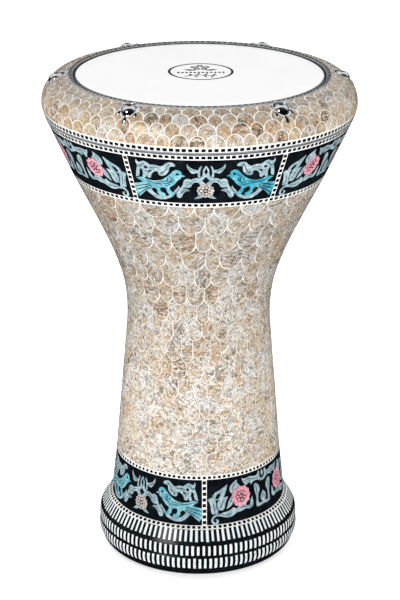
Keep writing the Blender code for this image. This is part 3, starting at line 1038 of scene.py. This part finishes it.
def make_scales():
    line = flowing(STEM_AND_BOWL, 8)
    pieces = body_sectors(line, BODY_SECTORS)
    add_scales(pieces, Surface(line), BODY_PEARL, BODY_SCALES, roundness=0.68, gap=0.56, flip=False)
    for piece in pieces:
        piece.make()

    shoulder = Surface(shoulder_line())
    pieces = ring_sectors(shoulder, RING_SECTORS)
    cups = [(cup_footprint(angle, CUP_TUBE_RADIUS + CUP_MARGIN), angle - FRONT)
            for angle in bolt_angles()]
    add_scales(pieces, shoulder, RING_PEARL, RING_SCALES, roundness=0.54, gap=0.84, flip=True,
               cut_outs=cups)
    for piece in pieces:
        piece.make()


# ---------------------------------------------------------------- picture bands


# The bird panel, drawn from its middle to the right. Half its width is 66.5 and its height is 48.9.
BIRD_DRAWING = (66.5, 48.9)
LOTUS = [(0, 43.2), (1.5, 40.8), (2.7, 37.2), (2.6, 34.2), (3.4, 31.2), (5.6, 28.0), (6.6, 25.0),
         (5.0, 21.8), (4.6, 18.0), (0, 17.0)]
LOTUS_HOLE = [(0, 40.4), (1.2, 37.2), (1.1, 35.0), (0, 33.3)]
DIAMOND = [(0, 30.8), (3.4, 26.0), (0, 22.6)]
OUTER_PETAL = [(3.6, 43.4), (5.3, 41.2), (6.4, 38.0), (6.7, 34.0), (6.4, 30.5), (4.6, 29.6),
               (4.9, 34.0), (4.6, 38.0), (3.8, 41.0)]
HORN_LEAF = [(15.2, 45.0), (15.5, 41.5), (14.0, 38.0), (11.3, 34.2), (8.6, 34.8), (6.2, 35.4),
             (6.0, 38.0), (9.0, 38.4), (12.3, 40.4), (14.2, 42.6)]
ARM = [(4.4, 29.4), (9.0, 28.8), (12.4, 27.0), (13.6, 24.4), (11.9, 21.4), (10.0, 23.8),
       (7.0, 24.2), (4.4, 24.6), (3.4, 27.0)]
CURL = [(11.4, 26.0), (13.2, 27.6), (15.4, 28.2), (17.2, 27.6), (18.8, 25.0), (19.6, 21.6),
        (20.4, 18.9), (16.8, 18.0), (13.7, 18.4), (12.2, 20.5), (11.6, 23.2)]
CURL_STEM = [(18.8, 20.6), (21.0, 16.4), (24.0, 13.6), (27.6, 10.8)]
SPUR_LEAF = [(23.3, 19.8), (22.2, 17.4), (21.2, 15.6), (22.6, 13.6), (25.6, 11.4), (28.6, 9.9),
             (28.0, 12.9), (25.9, 15.6), (24.5, 17.2)]
CRESCENT_LEAF = [(13.6, 14.6), (16.0, 16.3), (18.6, 16.5), (21.4, 15.2), (24.6, 12.2),
                 (25.8, 9.0), (25.0, 6.6), (22.6, 6.1), (20.8, 8.2), (19.4, 11.4), (17.0, 13.6)]
BOTTOM_LEAF = [(0, 11.5), (3.8, 11.4), (6.8, 8.4), (10.2, 5.3), (6.4, 5.7), (3.2, 6.8), (0, 9.0)]
BRANCH = [(26.6, 11.2), (29.6, 7.2), (34.0, 4.5), (39.0, 3.1), (43.4, 3.5), (47.4, 5.6),
          (50.4, 8.6), (53.8, 12.4), (48.6, 15.4), (47.4, 11.6), (44.2, 8.4), (40.0, 6.9),
          (36.0, 7.1), (32.2, 8.8), (29.2, 12.2)]
BIRD = [(17.0, 30.8), (19.8, 32.8), (20.2, 35.2), (21.6, 36.9), (23.8, 37.6), (26.2, 36.8),
        (28.2, 34.6), (30.2, 32.2), (33.4, 28.9), (37.2, 26.0), (42.0, 24.2), (47.0, 24.0),
        (51.2, 25.0), (55.0, 26.6), (60.4, 25.2), (57.2, 22.8), (54.6, 21.3), (59.0, 19.6),
        (64.2, 17.8), (64.4, 12.0), (63.8, 7.6), (61.6, 3.8), (58.8, 6.6), (54.6, 10.8),
        (49.0, 14.4), (44.6, 16.0), (40.0, 16.9), (36.0, 17.0), (32.4, 17.4), (28.6, 19.6),
        (25.8, 22.6), (23.8, 25.8), (21.4, 28.0), (19.9, 30.0)]
BIRD_EYE = disc(23.7, 32.9, radius=1.35, sides=10)
BEAK_LINE = [(20.0, 28.8), (20.6, 31.0), (20.0, 33.4)]
LEGS = [[(31.4, 18.6), (31.4, 15.2), (30.0, 12.8), (27.6, 11.2), (29.0, 8.8), (32.4, 9.4),
         (34.4, 12.0), (34.4, 14.8), (36.6, 17.8)],
        [(39.6, 17.6), (40.4, 14.4), (39.4, 11.6), (35.8, 9.8), (36.4, 6.8), (41.0, 7.4),
         (43.2, 10.6), (43.0, 13.4), (45.6, 16.2)]]
WING_LINES = [[(30.4, 30.4), (29.3, 27.0), (30.6, 23.6), (34.6, 21.4), (40.0, 20.8),
               (46.0, 21.8), (52.0, 23.0), (57.0, 24.6)],
              [(32.4, 28.2), (32.2, 25.8), (34.8, 23.8), (39.0, 23.0), (44.0, 23.2)],
              [(29.4, 24.0), (27.6, 26.2), (28.4, 29.0)],
              [(31.0, 21.6), (33.0, 19.6), (36.0, 18.8)]]
TAIL_LINES = [[(49.0, 19.6), (56.0, 17.4), (64.8, 15.0)], [(48.0, 18.0), (55.0, 14.8),
              (65.0, 10.4)], [(47.4, 16.6), (54.0, 12.6), (63.0, 6.2)]]
SCROLL = [(24.8, 43.2), (26.2, 45.0), (29.2, 45.9), (32.0, 44.8), (34.6, 42.0), (37.2, 40.6),
          (41.0, 41.9), (46.0, 41.9), (48.4, 44.2), (51.6, 45.2), (54.0, 43.6), (55.8, 43.8),
          (57.0, 46.6), (58.0, 43.4), (57.0, 40.2), (58.2, 36.0), (59.4, 31.8), (60.6, 26.6),
          (58.0, 27.4), (56.4, 31.0), (55.4, 35.4), (53.9, 36.6), (53.2, 33.0), (54.2, 28.0),
          (55.0, 25.4), (51.8, 26.6), (50.8, 30.0), (49.8, 27.2), (48.0, 26.2), (46.6, 28.0),
          (45.6, 31.4), (43.4, 34.0), (41.0, 35.0), (39.6, 34.4), (39.8, 32.2), (38.4, 30.2),
          (35.2, 30.6), (32.0, 33.2), (30.2, 37.0), (29.4, 40.6), (27.4, 41.4), (25.4, 41.6)]
SCROLL_HOLES = [disc(49.9, 38.2, 1.6, 10), [(44.2, 36.0), (48.8, 35.0), (47.2, 32.6)],
                disc(55.8, 39.6, 0.7, 8)]
SCROLL_LINES = [[(29.2, 43.4), (31.6, 41.0), (33.0, 37.2), (35.4, 34.2), (38.0, 33.4)],
                [(38.0, 38.6), (43.0, 39.2), (47.0, 38.0)], [(50.6, 42.4), (53.0, 41.0),
                (55.4, 37.4)], [(35.0, 32.0), (36.8, 32.4), (37.2, 34.2)],
                [(48.0, 30.6), (48.8, 33.0), (51.4, 35.0)]]
CURL_EYE = hoop(15.4, 23.0, radius=1.7, width=0.5, sides=12)
LEAF_LINES = [[(15.5, 15.0), (19.0, 14.2), (22.6, 10.0)], [(22.8, 17.2), (24.6, 13.6),
              (27.0, 11.6)], [(8.0, 26.6), (11.2, 25.6), (13.2, 21.4)],
              [(8.4, 36.6), (12.0, 37.8), (14.4, 41.0)]]
ROSETTE = (0.0, 14.6, 7.9)

# The rose panel, drawn from the divider on its left to its middle at 66. Half its width is 62.7
# and its height is 43.7.
ROSE_DRAWING = (62.7, 43.7)
ROSE_MIDDLE = 66.0
TULIP_LEFT = [(6.3, 24.4), (9.2, 26.0), (12.4, 24.8), (14.0, 21.6), (14.4, 16.8), (15.4, 12.0),
              (13.0, 10.4), (10.4, 10.6), (9.4, 14.0), (9.0, 18.0), (8.0, 21.4)]
TULIP_RIGHT = [(25.8, 25.8), (22.0, 25.6), (18.6, 26.2), (16.2, 22.6), (15.4, 17.0),
               (16.8, 14.2), (20.2, 13.2), (22.4, 16.0), (23.2, 20.0), (24.4, 23.0)]
LEAF_LOOP = [(10.4, 24.6), (11.2, 28.6), (14.0, 31.2), (18.0, 33.0), (22.0, 35.4), (25.4, 37.6),
             (24.6, 34.0), (23.2, 30.0), (21.6, 26.4), (17.0, 24.0), (13.0, 23.6)]
LOOP_HOLE = [(13.4, 25.6), (14.8, 28.6), (18.0, 30.4), (18.4, 28.2), (17.0, 25.6), (15.2, 24.2)]
TULIP_STEM = [(15.2, 15.0), (15.0, 11.0), (16.6, 8.8), (20.0, 8.0)]
LOW_CURL = [(17.6, 8.8), (13.6, 8.6), (10.9, 6.2), (10.6, 3.2), (12.4, 1.1), (15.0, 1.7),
            (15.4, 4.0), (13.6, 4.7)]
LOW_LEAF = [(16.4, 8.4), (20.0, 7.0), (25.0, 5.8), (30.0, 6.4), (33.6, 8.6), (38.0, 9.2),
            (36.4, 12.6), (33.4, 12.9), (30.8, 14.6), (28.4, 12.6), (24.0, 11.4), (19.4, 10.4)]
UNDER_ROSE = [(33.0, 9.2), (38.0, 9.0), (43.6, 10.5), (49.0, 9.4), (51.8, 11.2), (52.4, 15.0),
              (51.6, 20.6), (49.6, 17.0), (48.2, 13.2), (45.4, 12.8), (43.4, 16.0), (36.8, 16.0),
              (34.6, 12.6)]
ROSE = (39.3, 23.6)
SMALL_LEAF = [(29.5, 26.0), (26.7, 22.0), (25.4, 18.0), (24.0, 13.8), (28.2, 16.0), (31.0, 19.6)]
TOP_LEAF = [(30.0, 28.0), (27.8, 30.6), (28.0, 35.0), (31.0, 38.0), (35.0, 40.4), (35.6, 37.0),
            (39.4, 33.4), (37.0, 30.0)]
LONG_LEAF = [(40.4, 40.4), (44.8, 39.4), (50.0, 40.2), (55.0, 39.0), (58.6, 39.0), (61.0, 42.2),
             (62.2, 41.8), (62.4, 37.4), (64.0, 34.6), (66.5, 34.0), (66.5, 31.6), (63.0, 32.2),
             (61.0, 33.4), (57.6, 34.4), (54.0, 34.0), (50.8, 32.0), (50.4, 34.6), (47.4, 34.2),
             (44.8, 32.0), (42.6, 35.4)]
CROWN = [(66.5, 42.4), (65.0, 41.0), (64.6, 38.0), (66.5, 36.0)]
VASE = [(54.8, 30.4), (54.6, 27.0), (55.6, 22.6), (56.8, 17.6), (56.4, 12.4), (56.6, 8.6),
        (60.0, 8.0), (66.5, 8.8), (66.5, 11.0), (59.4, 10.8), (59.0, 15.4), (59.6, 20.0),
        (61.2, 23.4), (61.2, 27.0), (58.8, 30.2), (56.4, 31.6)]
DROP = [(66.5, 21.9), (63.2, 18.6), (62.4, 15.4), (63.8, 12.0), (66.5, 10.0)]
ROSE_LINES = [[(30.0, 30.6), (31.0, 34.2), (34.0, 38.0)], [(43.0, 37.4), (48.0, 38.0),
              (54.0, 36.6), (60.0, 36.4)], [(46.0, 35.6), (50.0, 36.2)], [(20.0, 9.0),
              (25.0, 8.0), (30.0, 9.4)], [(13.0, 13.0), (12.0, 18.0), (11.0, 22.0)],
              [(18.4, 16.0), (20.0, 20.0), (21.6, 23.4)], [(56.8, 28.4), (57.6, 24.6),
              (58.0, 21.0)], [(27.4, 18.6), (29.0, 22.0)], [(38.0, 12.2), (42.0, 12.8),
              (46.0, 11.2)], [(65.4, 18.4), (64.6, 15.6), (65.2, 13.2)]]
TULIP_LINE = [(14.6, 23.0), (15.0, 18.0), (15.2, 14.0)]
GROOVE = 0.75
WING_GROOVE = 0.85
TAIL_GROOVE = 0.95
BEAK_GROOVE = 0.35
TULIP_GROOVE = 0.6
CURL_STEM_WIDTH = 2.2
TULIP_STEM_WIDTH = 2.0
LOW_CURL_WIDTH = 1.9
PETAL_SIDES = 12


def petals(x, y, spread, radius, count):
    """Grooves round a ring of small petals and their middle."""
    made = [hoop(x, y, radius * 0.8, GROOVE, PETAL_SIDES)]
    for i in range(count):
        t = TURN * (i + 0.5) / count
        made.append(hoop(x + spread * math.cos(t), y + spread * math.sin(t), radius, GROOVE,
                         PETAL_SIDES))
    return made


def bird_drawing(birds):
    """(look, solid outlines, holes) for each part of a bird panel. birds: left and right looks."""
    shapes = [LOTUS, BOTTOM_LEAF, OUTER_PETAL, HORN_LEAF, ARM, CURL, SPUR_LEAF, CRESCENT_LEAF,
              BRANCH, SCROLL]
    sides = [smooth(shape) for shape in shapes] + [ribbon(CURL_STEM, CURL_STEM_WIDTH)]
    x, y, radius = ROSETTE
    holes = [smooth(LOTUS_HOLE), DIAMOND, *SCROLL_HOLES,
             *[ribbon(line, GROOVE) for line in SCROLL_LINES], CURL_EYE,
             *[ribbon(line, GROOVE) for line in LEAF_LINES]]
    clearing = disc(x, y, radius + 0.5, sides=40, lobes=12, depth=1.0)
    bird_clear = [smooth(grown(BIRD, 0.45)), *[grown(leg, 0.35) for leg in LEGS]]
    foliage = sides + [mirrored(side) for side in sides]
    cuts = holes + bird_clear
    parts = [(FOLIAGE, foliage, cuts + [mirrored(cut) for cut in cuts] + [clearing])]
    rosette = [disc(x, y, radius, sides=40, lobes=12, depth=1.0)]
    parts.append((BEIGE, rosette, [*petals(x, y, spread=3.7, radius=1.75, count=7),
                                   hoop(x, y, radius=6.3, width=0.4, sides=24)]))
    marks = [BIRD_EYE, ribbon(BEAK_LINE, BEAK_GROOVE)]
    marks += [ribbon(line, WING_GROOVE) for line in WING_LINES]
    marks += [ribbon(line, TAIL_GROOVE) for line in TAIL_LINES]
    figure = [smooth(BIRD), *LEGS]
    parts.append((birds[1], figure, marks))
    parts.append((birds[0], [mirrored(o) for o in figure], [mirrored(o) for o in marks]))
    return parts


def grown(outline, by):
    """The outline with every point moved outwards."""
    sign = 1 if area(outline) > 0 else -1
    made = []
    for i, (x, y) in enumerate(outline):
        (px, py), (nx, ny) = outline[i - 1], outline[(i + 1) % len(outline)]
        length = math.hypot(nx - px, ny - py)
        made.append((x + sign * by * (ny - py) / length, y - sign * by * (nx - px) / length))
    return made


def rose_drawing(rose_look, radius):
    """The same for a rose panel, with its middle at 0. radius is the roses'."""
    shapes = [TULIP_LEFT, TULIP_RIGHT, LEAF_LOOP, LOW_LEAF, UNDER_ROSE, SMALL_LEAF, TOP_LEAF,
              LONG_LEAF, CROWN, VASE, DROP]
    solids = [smooth(shape) for shape in shapes]
    solids += [ribbon(TULIP_STEM, TULIP_STEM_WIDTH), ribbon(LOW_CURL, LOW_CURL_WIDTH)]
    grooves = [ribbon(line, GROOVE) for line in ROSE_LINES] + [ribbon(TULIP_LINE, TULIP_GROOVE)]
    x, y = ROSE
    clearing = disc(x, y, radius + 0.45, sides=44, lobes=11, depth=1.1)
    holes = [smooth(LOOP_HOLE), clearing, *grooves]

    def centred(outlines):
        return [[(px - ROSE_MIDDLE, py) for px, py in outline] for outline in outlines]

    solids, holes = centred(solids), centred(holes)
    rose = centred([disc(x, y, radius, sides=44, lobes=11, depth=1.1)])
    marks = centred(petals(x, y, spread=3.9, radius=1.8, count=7))
    return [(FOLIAGE, solids + [mirrored(o) for o in solids],
             holes + [mirrored(o) for o in holes]),
            (rose_look, rose, marks),
            (rose_look, [mirrored(o) for o in rose], [mirrored(o) for o in marks])]


def make_panel(name, node, line, start, end, drawing, size):
    """A black panel between two dividers' middles, with its pictures let in.

    size is half the drawing's width, and its height."""
    piece = Piece(name, "shell", "black_resin", node)
    piece.skin(line, BLACK, start, end)
    surface = Surface(line)
    across = (end - start) / 2 / size[0]
    up = surface.length / size[1]

    def place(point):
        return (start + end) / 2 + point[0] * across, point[1] * up

    for look, solids, holes in drawing:
        piece.lay(region(solids, holes), surface, place, INLAY_LIFT, look)
    piece.make()


def make_divider(name, node, line, angle, count):
    """An upright white strip between two panels, with its black squares."""
    piece = Piece(name, "shell", "dotted_strip", node)
    surface = Surface(line)
    top = surface.length

    def place(point):
        return angle + point[0] / surface.radius(point[1]), point[1]

    piece.lay(region([upright(DIVIDER_WIDTH / 2, 0.0, top, 10)]), surface, place, INLAY_LIFT,
              WHITE)
    for i in range(count):
        square = rounded_square(uneven(0.15), top * (i + 0.5) / count, DIVIDER_SQUARE,
                                DIVIDER_SQUARE)
        piece.lay(region([square], grid=NO_GRID), surface, place, INLAY_LIFT + SQUARE_LIFT, BLACK,
                  -INLAY_LIFT / 2)
    piece.make()


def make_band(band, line, panels, twist, kinds, dots):
    """The panels and dividers round one picture band."""
    pitch = TURN / panels
    made = {"bird": 0, "rose": 0}
    for i in range(panels):
        start = FRONT + twist + pitch * i - (pitch / 2 if band == "upper" else 0.0)
        kind = kinds[i % 2]
        made[kind] += 1
        name = f"{band}_{kind}_panel_{made[kind]}"
        if kind == "bird":
            drawing = bird_drawing((AQUA, TURQUOISE) if band == "upper" else (AQUA, AQUA))
            size = BIRD_DRAWING
        else:
            drawing = rose_drawing(PINK, 9.3 if band == "upper" else 10.3)
            size = ROSE_DRAWING
        make_panel(f"{name}_picture", name, line, start, start + pitch, drawing, size)
        node = f"{band}_divider_{i + 1}"
        make_divider(f"{node}_dots", node, line, start, dots)


# ---------------------------------------------------------------- head, bolts and cups


def make_film():
    film = Piece("white_film", "shell", "head_film", "drumhead_film")
    upper = [(0.0, FILM_TOP)] + [(FILM_EDGE[-1][0] * i / 10, FILM_TOP) for i in range(1, 10)]
    under = [(r - FILM_THICKNESS, z - FILM_THICKNESS) for r, z in FILM_EDGE[1:]]
    inner_lip = (FILM_EDGE[0][0] - FILM_THICKNESS, FILM_EDGE[0][1])
    middle = (0.0, FILM_TOP - FILM_THICKNESS)
    film.turn([*upper, *FILM_EDGE[::-1], inner_lip, *under, middle], FILM_WHITE)
    film.make()


def make_badge():
    badge = Piece("printed_badge", "shell", "head_film")
    level = Surface([(LEVEL_REACH, FILM_TOP), (0.0, FILM_TOP)])

    def place(point):
        x, y = point[0] + BADGE_RIGHT, point[1] + BADGE_BEHIND
        return math.atan2(y, x), LEVEL_REACH - math.hypot(x, y)

    circle = [disc(0, 0, BADGE_RADIUS, 72)], [disc(0, 0, BADGE_RADIUS - BADGE_LINE, 72)]
    for outlines, cuts in [circle, *badge_flower()]:
        badge.lay(region(outlines, cuts), level, place, PRINT_LIFT, INK, PRINT_DEPTH)
    badge.make()


def badge_flower():
    """A plain ornament, (outlines, cut-outs) for each part: a flower on two leaves, a row of
    diamonds, and a leafy twig below."""
    parts = []
    petal = smooth([(0, 1.6), (2.7, 4.4), (2.5, 7.4), (0, 9.0), (-2.5, 7.4), (-2.7, 4.4)])
    inside = smooth([(0, 3.4), (1.0, 4.8), (0.9, 6.2), (0, 7.0), (-0.9, 6.2), (-1.0, 4.8)])
    for i in range(5):
        turn = Matrix.Rotation(TURN * i / 5, 2)
        moved = [[(x, y + 13.5) for x, y in (turn @ Vector(p) for p in outline)]
                 for outline in (petal, inside)]
        parts.append(([moved[0]], [moved[1]]))
    for side in (1, -1):
        leaf = [(side * x, y) for x, y in ((4.0, 3.6), (9.0, 7.6), (15.4, 6.8), (10.2, 3.4))]
        parts.append(([smooth(leaf)], []))
        for x in (1.8, 5.4, 9.0, 12.6, 16.2, 19.8):
            diamond = [(side * x + 1.5, -3.5), (side * x, -0.7), (side * x - 1.5, -3.5),
                       (side * x, -6.3)]
            parts.append(([diamond], []))
    twig = [(-15.0, -17.0), (-8.0, -13.0), (0.0, -12.4), (8.0, -14.6), (15.0, -13.0)]
    parts.append(([ribbon(twig, 1.6)], []))
    for x, y, height_shade in ((-11.0, -13.8, 5.0), (-4.0, -11.6, 4.4), (3.0, -12.0, 4.8),
                       (10.0, -13.6, 5.0), (-6.0, -14.0, -5.4), (2.0, -14.0, -5.8),
                       (8.0, -16.0, -4.6)):
        leaf = [(x, y), (x + 2.2, y + 0.3 * height_shade), (x + 3.0, y + height_shade), (x + 0.4, y + 0.7 * height_shade)]
        parts.append(([smooth(leaf)], []))
    return parts


def polygon_radius(across_flats, sides, angle):
    """How far a regular polygon reaches from its centre in a direction."""
    part = TURN / sides
    return across_flats / 2 / math.cos(math.remainder(angle, part))


def joined(rings, closed):
    """(corners, faces) between rings of corners. Closed joins the last to the first, else both
    ends are capped."""
    count = len(rings[0])
    loops = [list(range(i * count, (i + 1) * count)) for i in range(len(rings))]
    faces = [(a[k], a[(k + 1) % count], b[(k + 1) % count], b[k])
             for a, b in zip(loops, loops[1:] + (loops[:1] if closed else []))
             for k in range(count)]
    if not closed:
        faces += [tuple(reversed(loops[0])), tuple(loops[-1])]
    return [corner for ring in rings for corner in ring], faces


def turns(count):
    return [TURN * k / count for k in range(count)]


def make_bolt(index, angle):
    """A dome-headed bolt with a hexagonal socket, on a plain shank."""
    piece = Piece(f"domed_bolt_{index}", f"bolt_{index}", "chrome", f"tuning_bolt_{index}")
    centre = bolt_centre(angle)
    outline = [(SHANK_CORE, SHANK_TIP), (SHANK_RADIUS - SHANK_BEVEL[0], SHANK_TIP),
               (SHANK_RADIUS, SHANK_TIP + SHANK_BEVEL[1]), (SHANK_RADIUS, HEAD_SEAT),
               (HEAD_RADIUS - HEAD_BEVEL, HEAD_SEAT), (HEAD_RADIUS, HEAD_SEAT + HEAD_BEVEL)]
    rim = math.acos((SOCKET_ACROSS_FLATS / math.sqrt(3) + SOCKET_MARGIN) / HEAD_RADIUS)
    for t in (rim * i / 9 for i in range(10)):
        outline.append((HEAD_RADIUS * math.cos(t), HEAD_SHOULDER + DOME_HEIGHT * math.sin(t)))
    socket = [outline[-1][1] - SOCKET_BEVEL, HEAD_SHOULDER + DOME_HEIGHT - SOCKET_DEPTH]

    def corner(radius, turn, z):
        return Vector((centre[0] + radius * math.cos(turn + angle),
                       centre[1] + radius * math.sin(turn + angle), z)) * MM

    rings = [[corner(radius, turn, z) for turn in turns(BOLT_STEPS)] for radius, z in outline]
    rings += [[corner(polygon_radius(SOCKET_ACROSS_FLATS, SOCKET_SIDES, turn), turn, z)
               for turn in turns(BOLT_STEPS)] for z in socket]
    piece.add(*joined(rings, False), CHROME)
    piece.make()


def make_cup(index, angle):
    """A chrome cup let into the ring, with a rolled lip and a row of buttons round it."""
    piece = Piece(f"scalloped_cup_{index}", "tuning_ring", "chrome", f"bolt_cup_{index}")
    cx, cy = bolt_centre(angle)
    inside = CUP_TUBE_RADIUS - CUP_WALL
    below = [(CUP_BORE_RADIUS, CUP_FLOOR), (CUP_TUBE_RADIUS, CUP_FLOOR)]
    lip = [(CUP_TUBE_RADIUS, 0.0), (CUP_TUBE_RADIUS - 0.1, 0.35), (CUP_TUBE_RADIUS - 0.3, 0.45),
           (inside + 0.1, 0.35), (inside, 0.0)]
    above = [(inside, CUP_FLOOR + CUP_WALL), (CUP_BORE_RADIUS, CUP_FLOOR + CUP_WALL)]

    def level(radius, z):
        return [Vector((cx + radius * math.cos(turn), cy + radius * math.sin(turn), z)) * MM
                for turn in turns(BOLT_STEPS)]

    def draped(radius, height, count, x=0.0, y=0.0):
        """A ring of corners over the shoulder, its middle at (x, y) from the bolt."""
        places = [(x + radius * math.cos(turn) + cx, y + radius * math.sin(turn) + cy)
                  for turn in turns(count)]
        return [Vector((*place, shoulder_height(math.hypot(*place)) + height)) * MM
                for place in places]

    rings = [level(*ring) for ring in below]
    rings += [draped(radius, CUP_CLEARANCE + height, BOLT_STEPS) for radius, height in lip]
    rings += [level(*ring) for ring in above]
    piece.add(*joined(rings, True), CHROME)

    profile = [(BUTTON_CORE, -SET_IN), (BUTTON_RADIUS, -SET_IN)]
    profile += [(BUTTON_RADIUS * math.cos(t), BUTTON_HEIGHT * math.sin(t))
                for t in (0.0, 0.35, 0.7, 1.05, 1.35, 1.55)]
    for towards in turns(CUP_BUTTONS):
        x = BUTTON_CIRCLE * math.cos(angle + towards)
        y = BUTTON_CIRCLE * math.sin(angle + towards)
        rings = [draped(radius, height, BUTTON_STEPS, x, y) for radius, height in profile]
        piece.add(*joined(rings, True), CHROME)
    piece.make()


def dress_cad_nodes():
    """Better materials for the CAD nodes that stay in view."""
    looks = {"shell_casting": ALUMINIUM, "tuning_ring_casting": ALUMINIUM,
             "drumhead_hoop": ALUMINIUM, "drumhead_skirt": FILM_WHITE}
    looks.update({f"lug_insert_{i}": BRASS for i in range(1, BOLT_COUNT + 1)})
    for name, look in looks.items():
        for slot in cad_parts[name].material_slots:
            slot.material = look


# ---------------------------------------------------------------- studio


def make_floor():
    mesh = bpy.data.meshes.new("studio_floor")
    corners = [(x, y, FLOOR_HEIGHT) for x, y in disc(0.0, 0.0, FLOOR_RADIUS, FLOOR_SIDES)]
    mesh.from_pydata(corners, [], [tuple(range(FLOOR_SIDES))])
    mesh.materials.append(studio_floor())
    floor = bpy.data.objects.new("studio_floor", mesh)
    bpy.context.scene.collection.objects.link(floor)
    floor.visible_glossy = False


def add_light(name, place, target, size, power, reflected):
    lamp = bpy.data.lights.new(name, "AREA")
    lamp.shape = "RECTANGLE"
    lamp.size, lamp.size_y = size
    lamp.energy = power
    made = bpy.data.objects.new(name, lamp)
    bpy.context.scene.collection.objects.link(made)
    made.location = place
    made.rotation_euler = (Vector(target) - Vector(place)).to_track_quat("-Z", "Y").to_euler()
    made.visible_glossy = reflected


def make_world():
    """A white backdrop for the camera. Reflections see it dark low down and bright high up."""
    world = bpy.data.worlds.new("studio")
    bpy.context.scene.world = world
    world.use_nodes = True
    tree = world.node_tree
    direction = tree.nodes.new("ShaderNodeTexCoord")
    parts = tree.nodes.new("ShaderNodeSeparateXYZ")
    tree.links.new(direction.outputs["Generated"], parts.inputs[0])

    def fade(part, low, high, first, last):
        """A grey that goes from first to last as a part of the direction goes low to high."""
        made = tree.nodes.new("ShaderNodeMapRange")
        tree.links.new(parts.outputs[part], made.inputs["Value"])
        for name, value in (("From Min", low), ("From Max", high), ("To Min", first),
                            ("To Max", last)):
            made.inputs[name].default_value = value
        return made.outputs[0]

    backdrop = tree.nodes.new("ShaderNodeMath")
    backdrop.operation = "MULTIPLY"
    tree.links.new(fade(1, -0.15, 0.05, 0.02, 0.85), backdrop.inputs[0])
    tree.links.new(fade(2, 0.0, 0.5, 0.02, 1.3), backdrop.inputs[1])
    seen = tree.nodes.new("ShaderNodeLightPath")
    choice = tree.nodes.new("ShaderNodeMix")
    choice.data_type = "RGBA"
    tree.links.new(seen.outputs["Is Camera Ray"], choice.inputs[0])
    tree.links.new(backdrop.outputs[0], choice.inputs[6])
    choice.inputs[7].default_value = (1.0, 1.0, 1.0, 1.0)
    tree.links.new(choice.outputs[2], tree.nodes["Background"].inputs["Color"])


def make_camera():
    lens = bpy.data.cameras.new("camera")
    lens.lens = CAMERA_LENS
    lens.sensor_width = FILM_WIDTH
    lens.shift_x = CAMERA_SHIFT
    camera = bpy.data.objects.new("camera", lens)
    bpy.context.scene.collection.objects.link(camera)
    place = Matrix.Translation((-CAMERA_DISTANCE * math.sin(CAMERA_AZIMUTH),
                                -CAMERA_DISTANCE * math.cos(CAMERA_AZIMUTH), CAMERA_HEIGHT))
    camera.matrix_world = (place @ Matrix.Rotation(-CAMERA_AZIMUTH, 4, "Z")
                           @ Matrix.Rotation(math.pi / 2 - CAMERA_PITCH, 4, "X")
                           @ Matrix.Rotation(CAMERA_ROLL, 4, "Z"))
    bpy.context.scene.camera = camera


def make_drum():
    make_strips()
    make_foot()
    make_scales()
    make_band("upper", UPPER_BAND, UPPER_PANELS, 0.0, ("bird", "rose"), 9)
    make_band("lower", LOWER_BAND, LOWER_PANELS, LOWER_BAND_TWIST, ("rose", "bird"), 8)
    make_film()
    make_badge()
    for index, angle in enumerate(bolt_angles(), 1):
        make_cup(index, angle)
        make_bolt(index, angle)
    dress_cad_nodes()


make_drum()
make_floor()
for light in LIGHTS:
    add_light(*light)
make_world()
make_camera()
bpy.context.scene.view_settings.view_transform = "Standard"
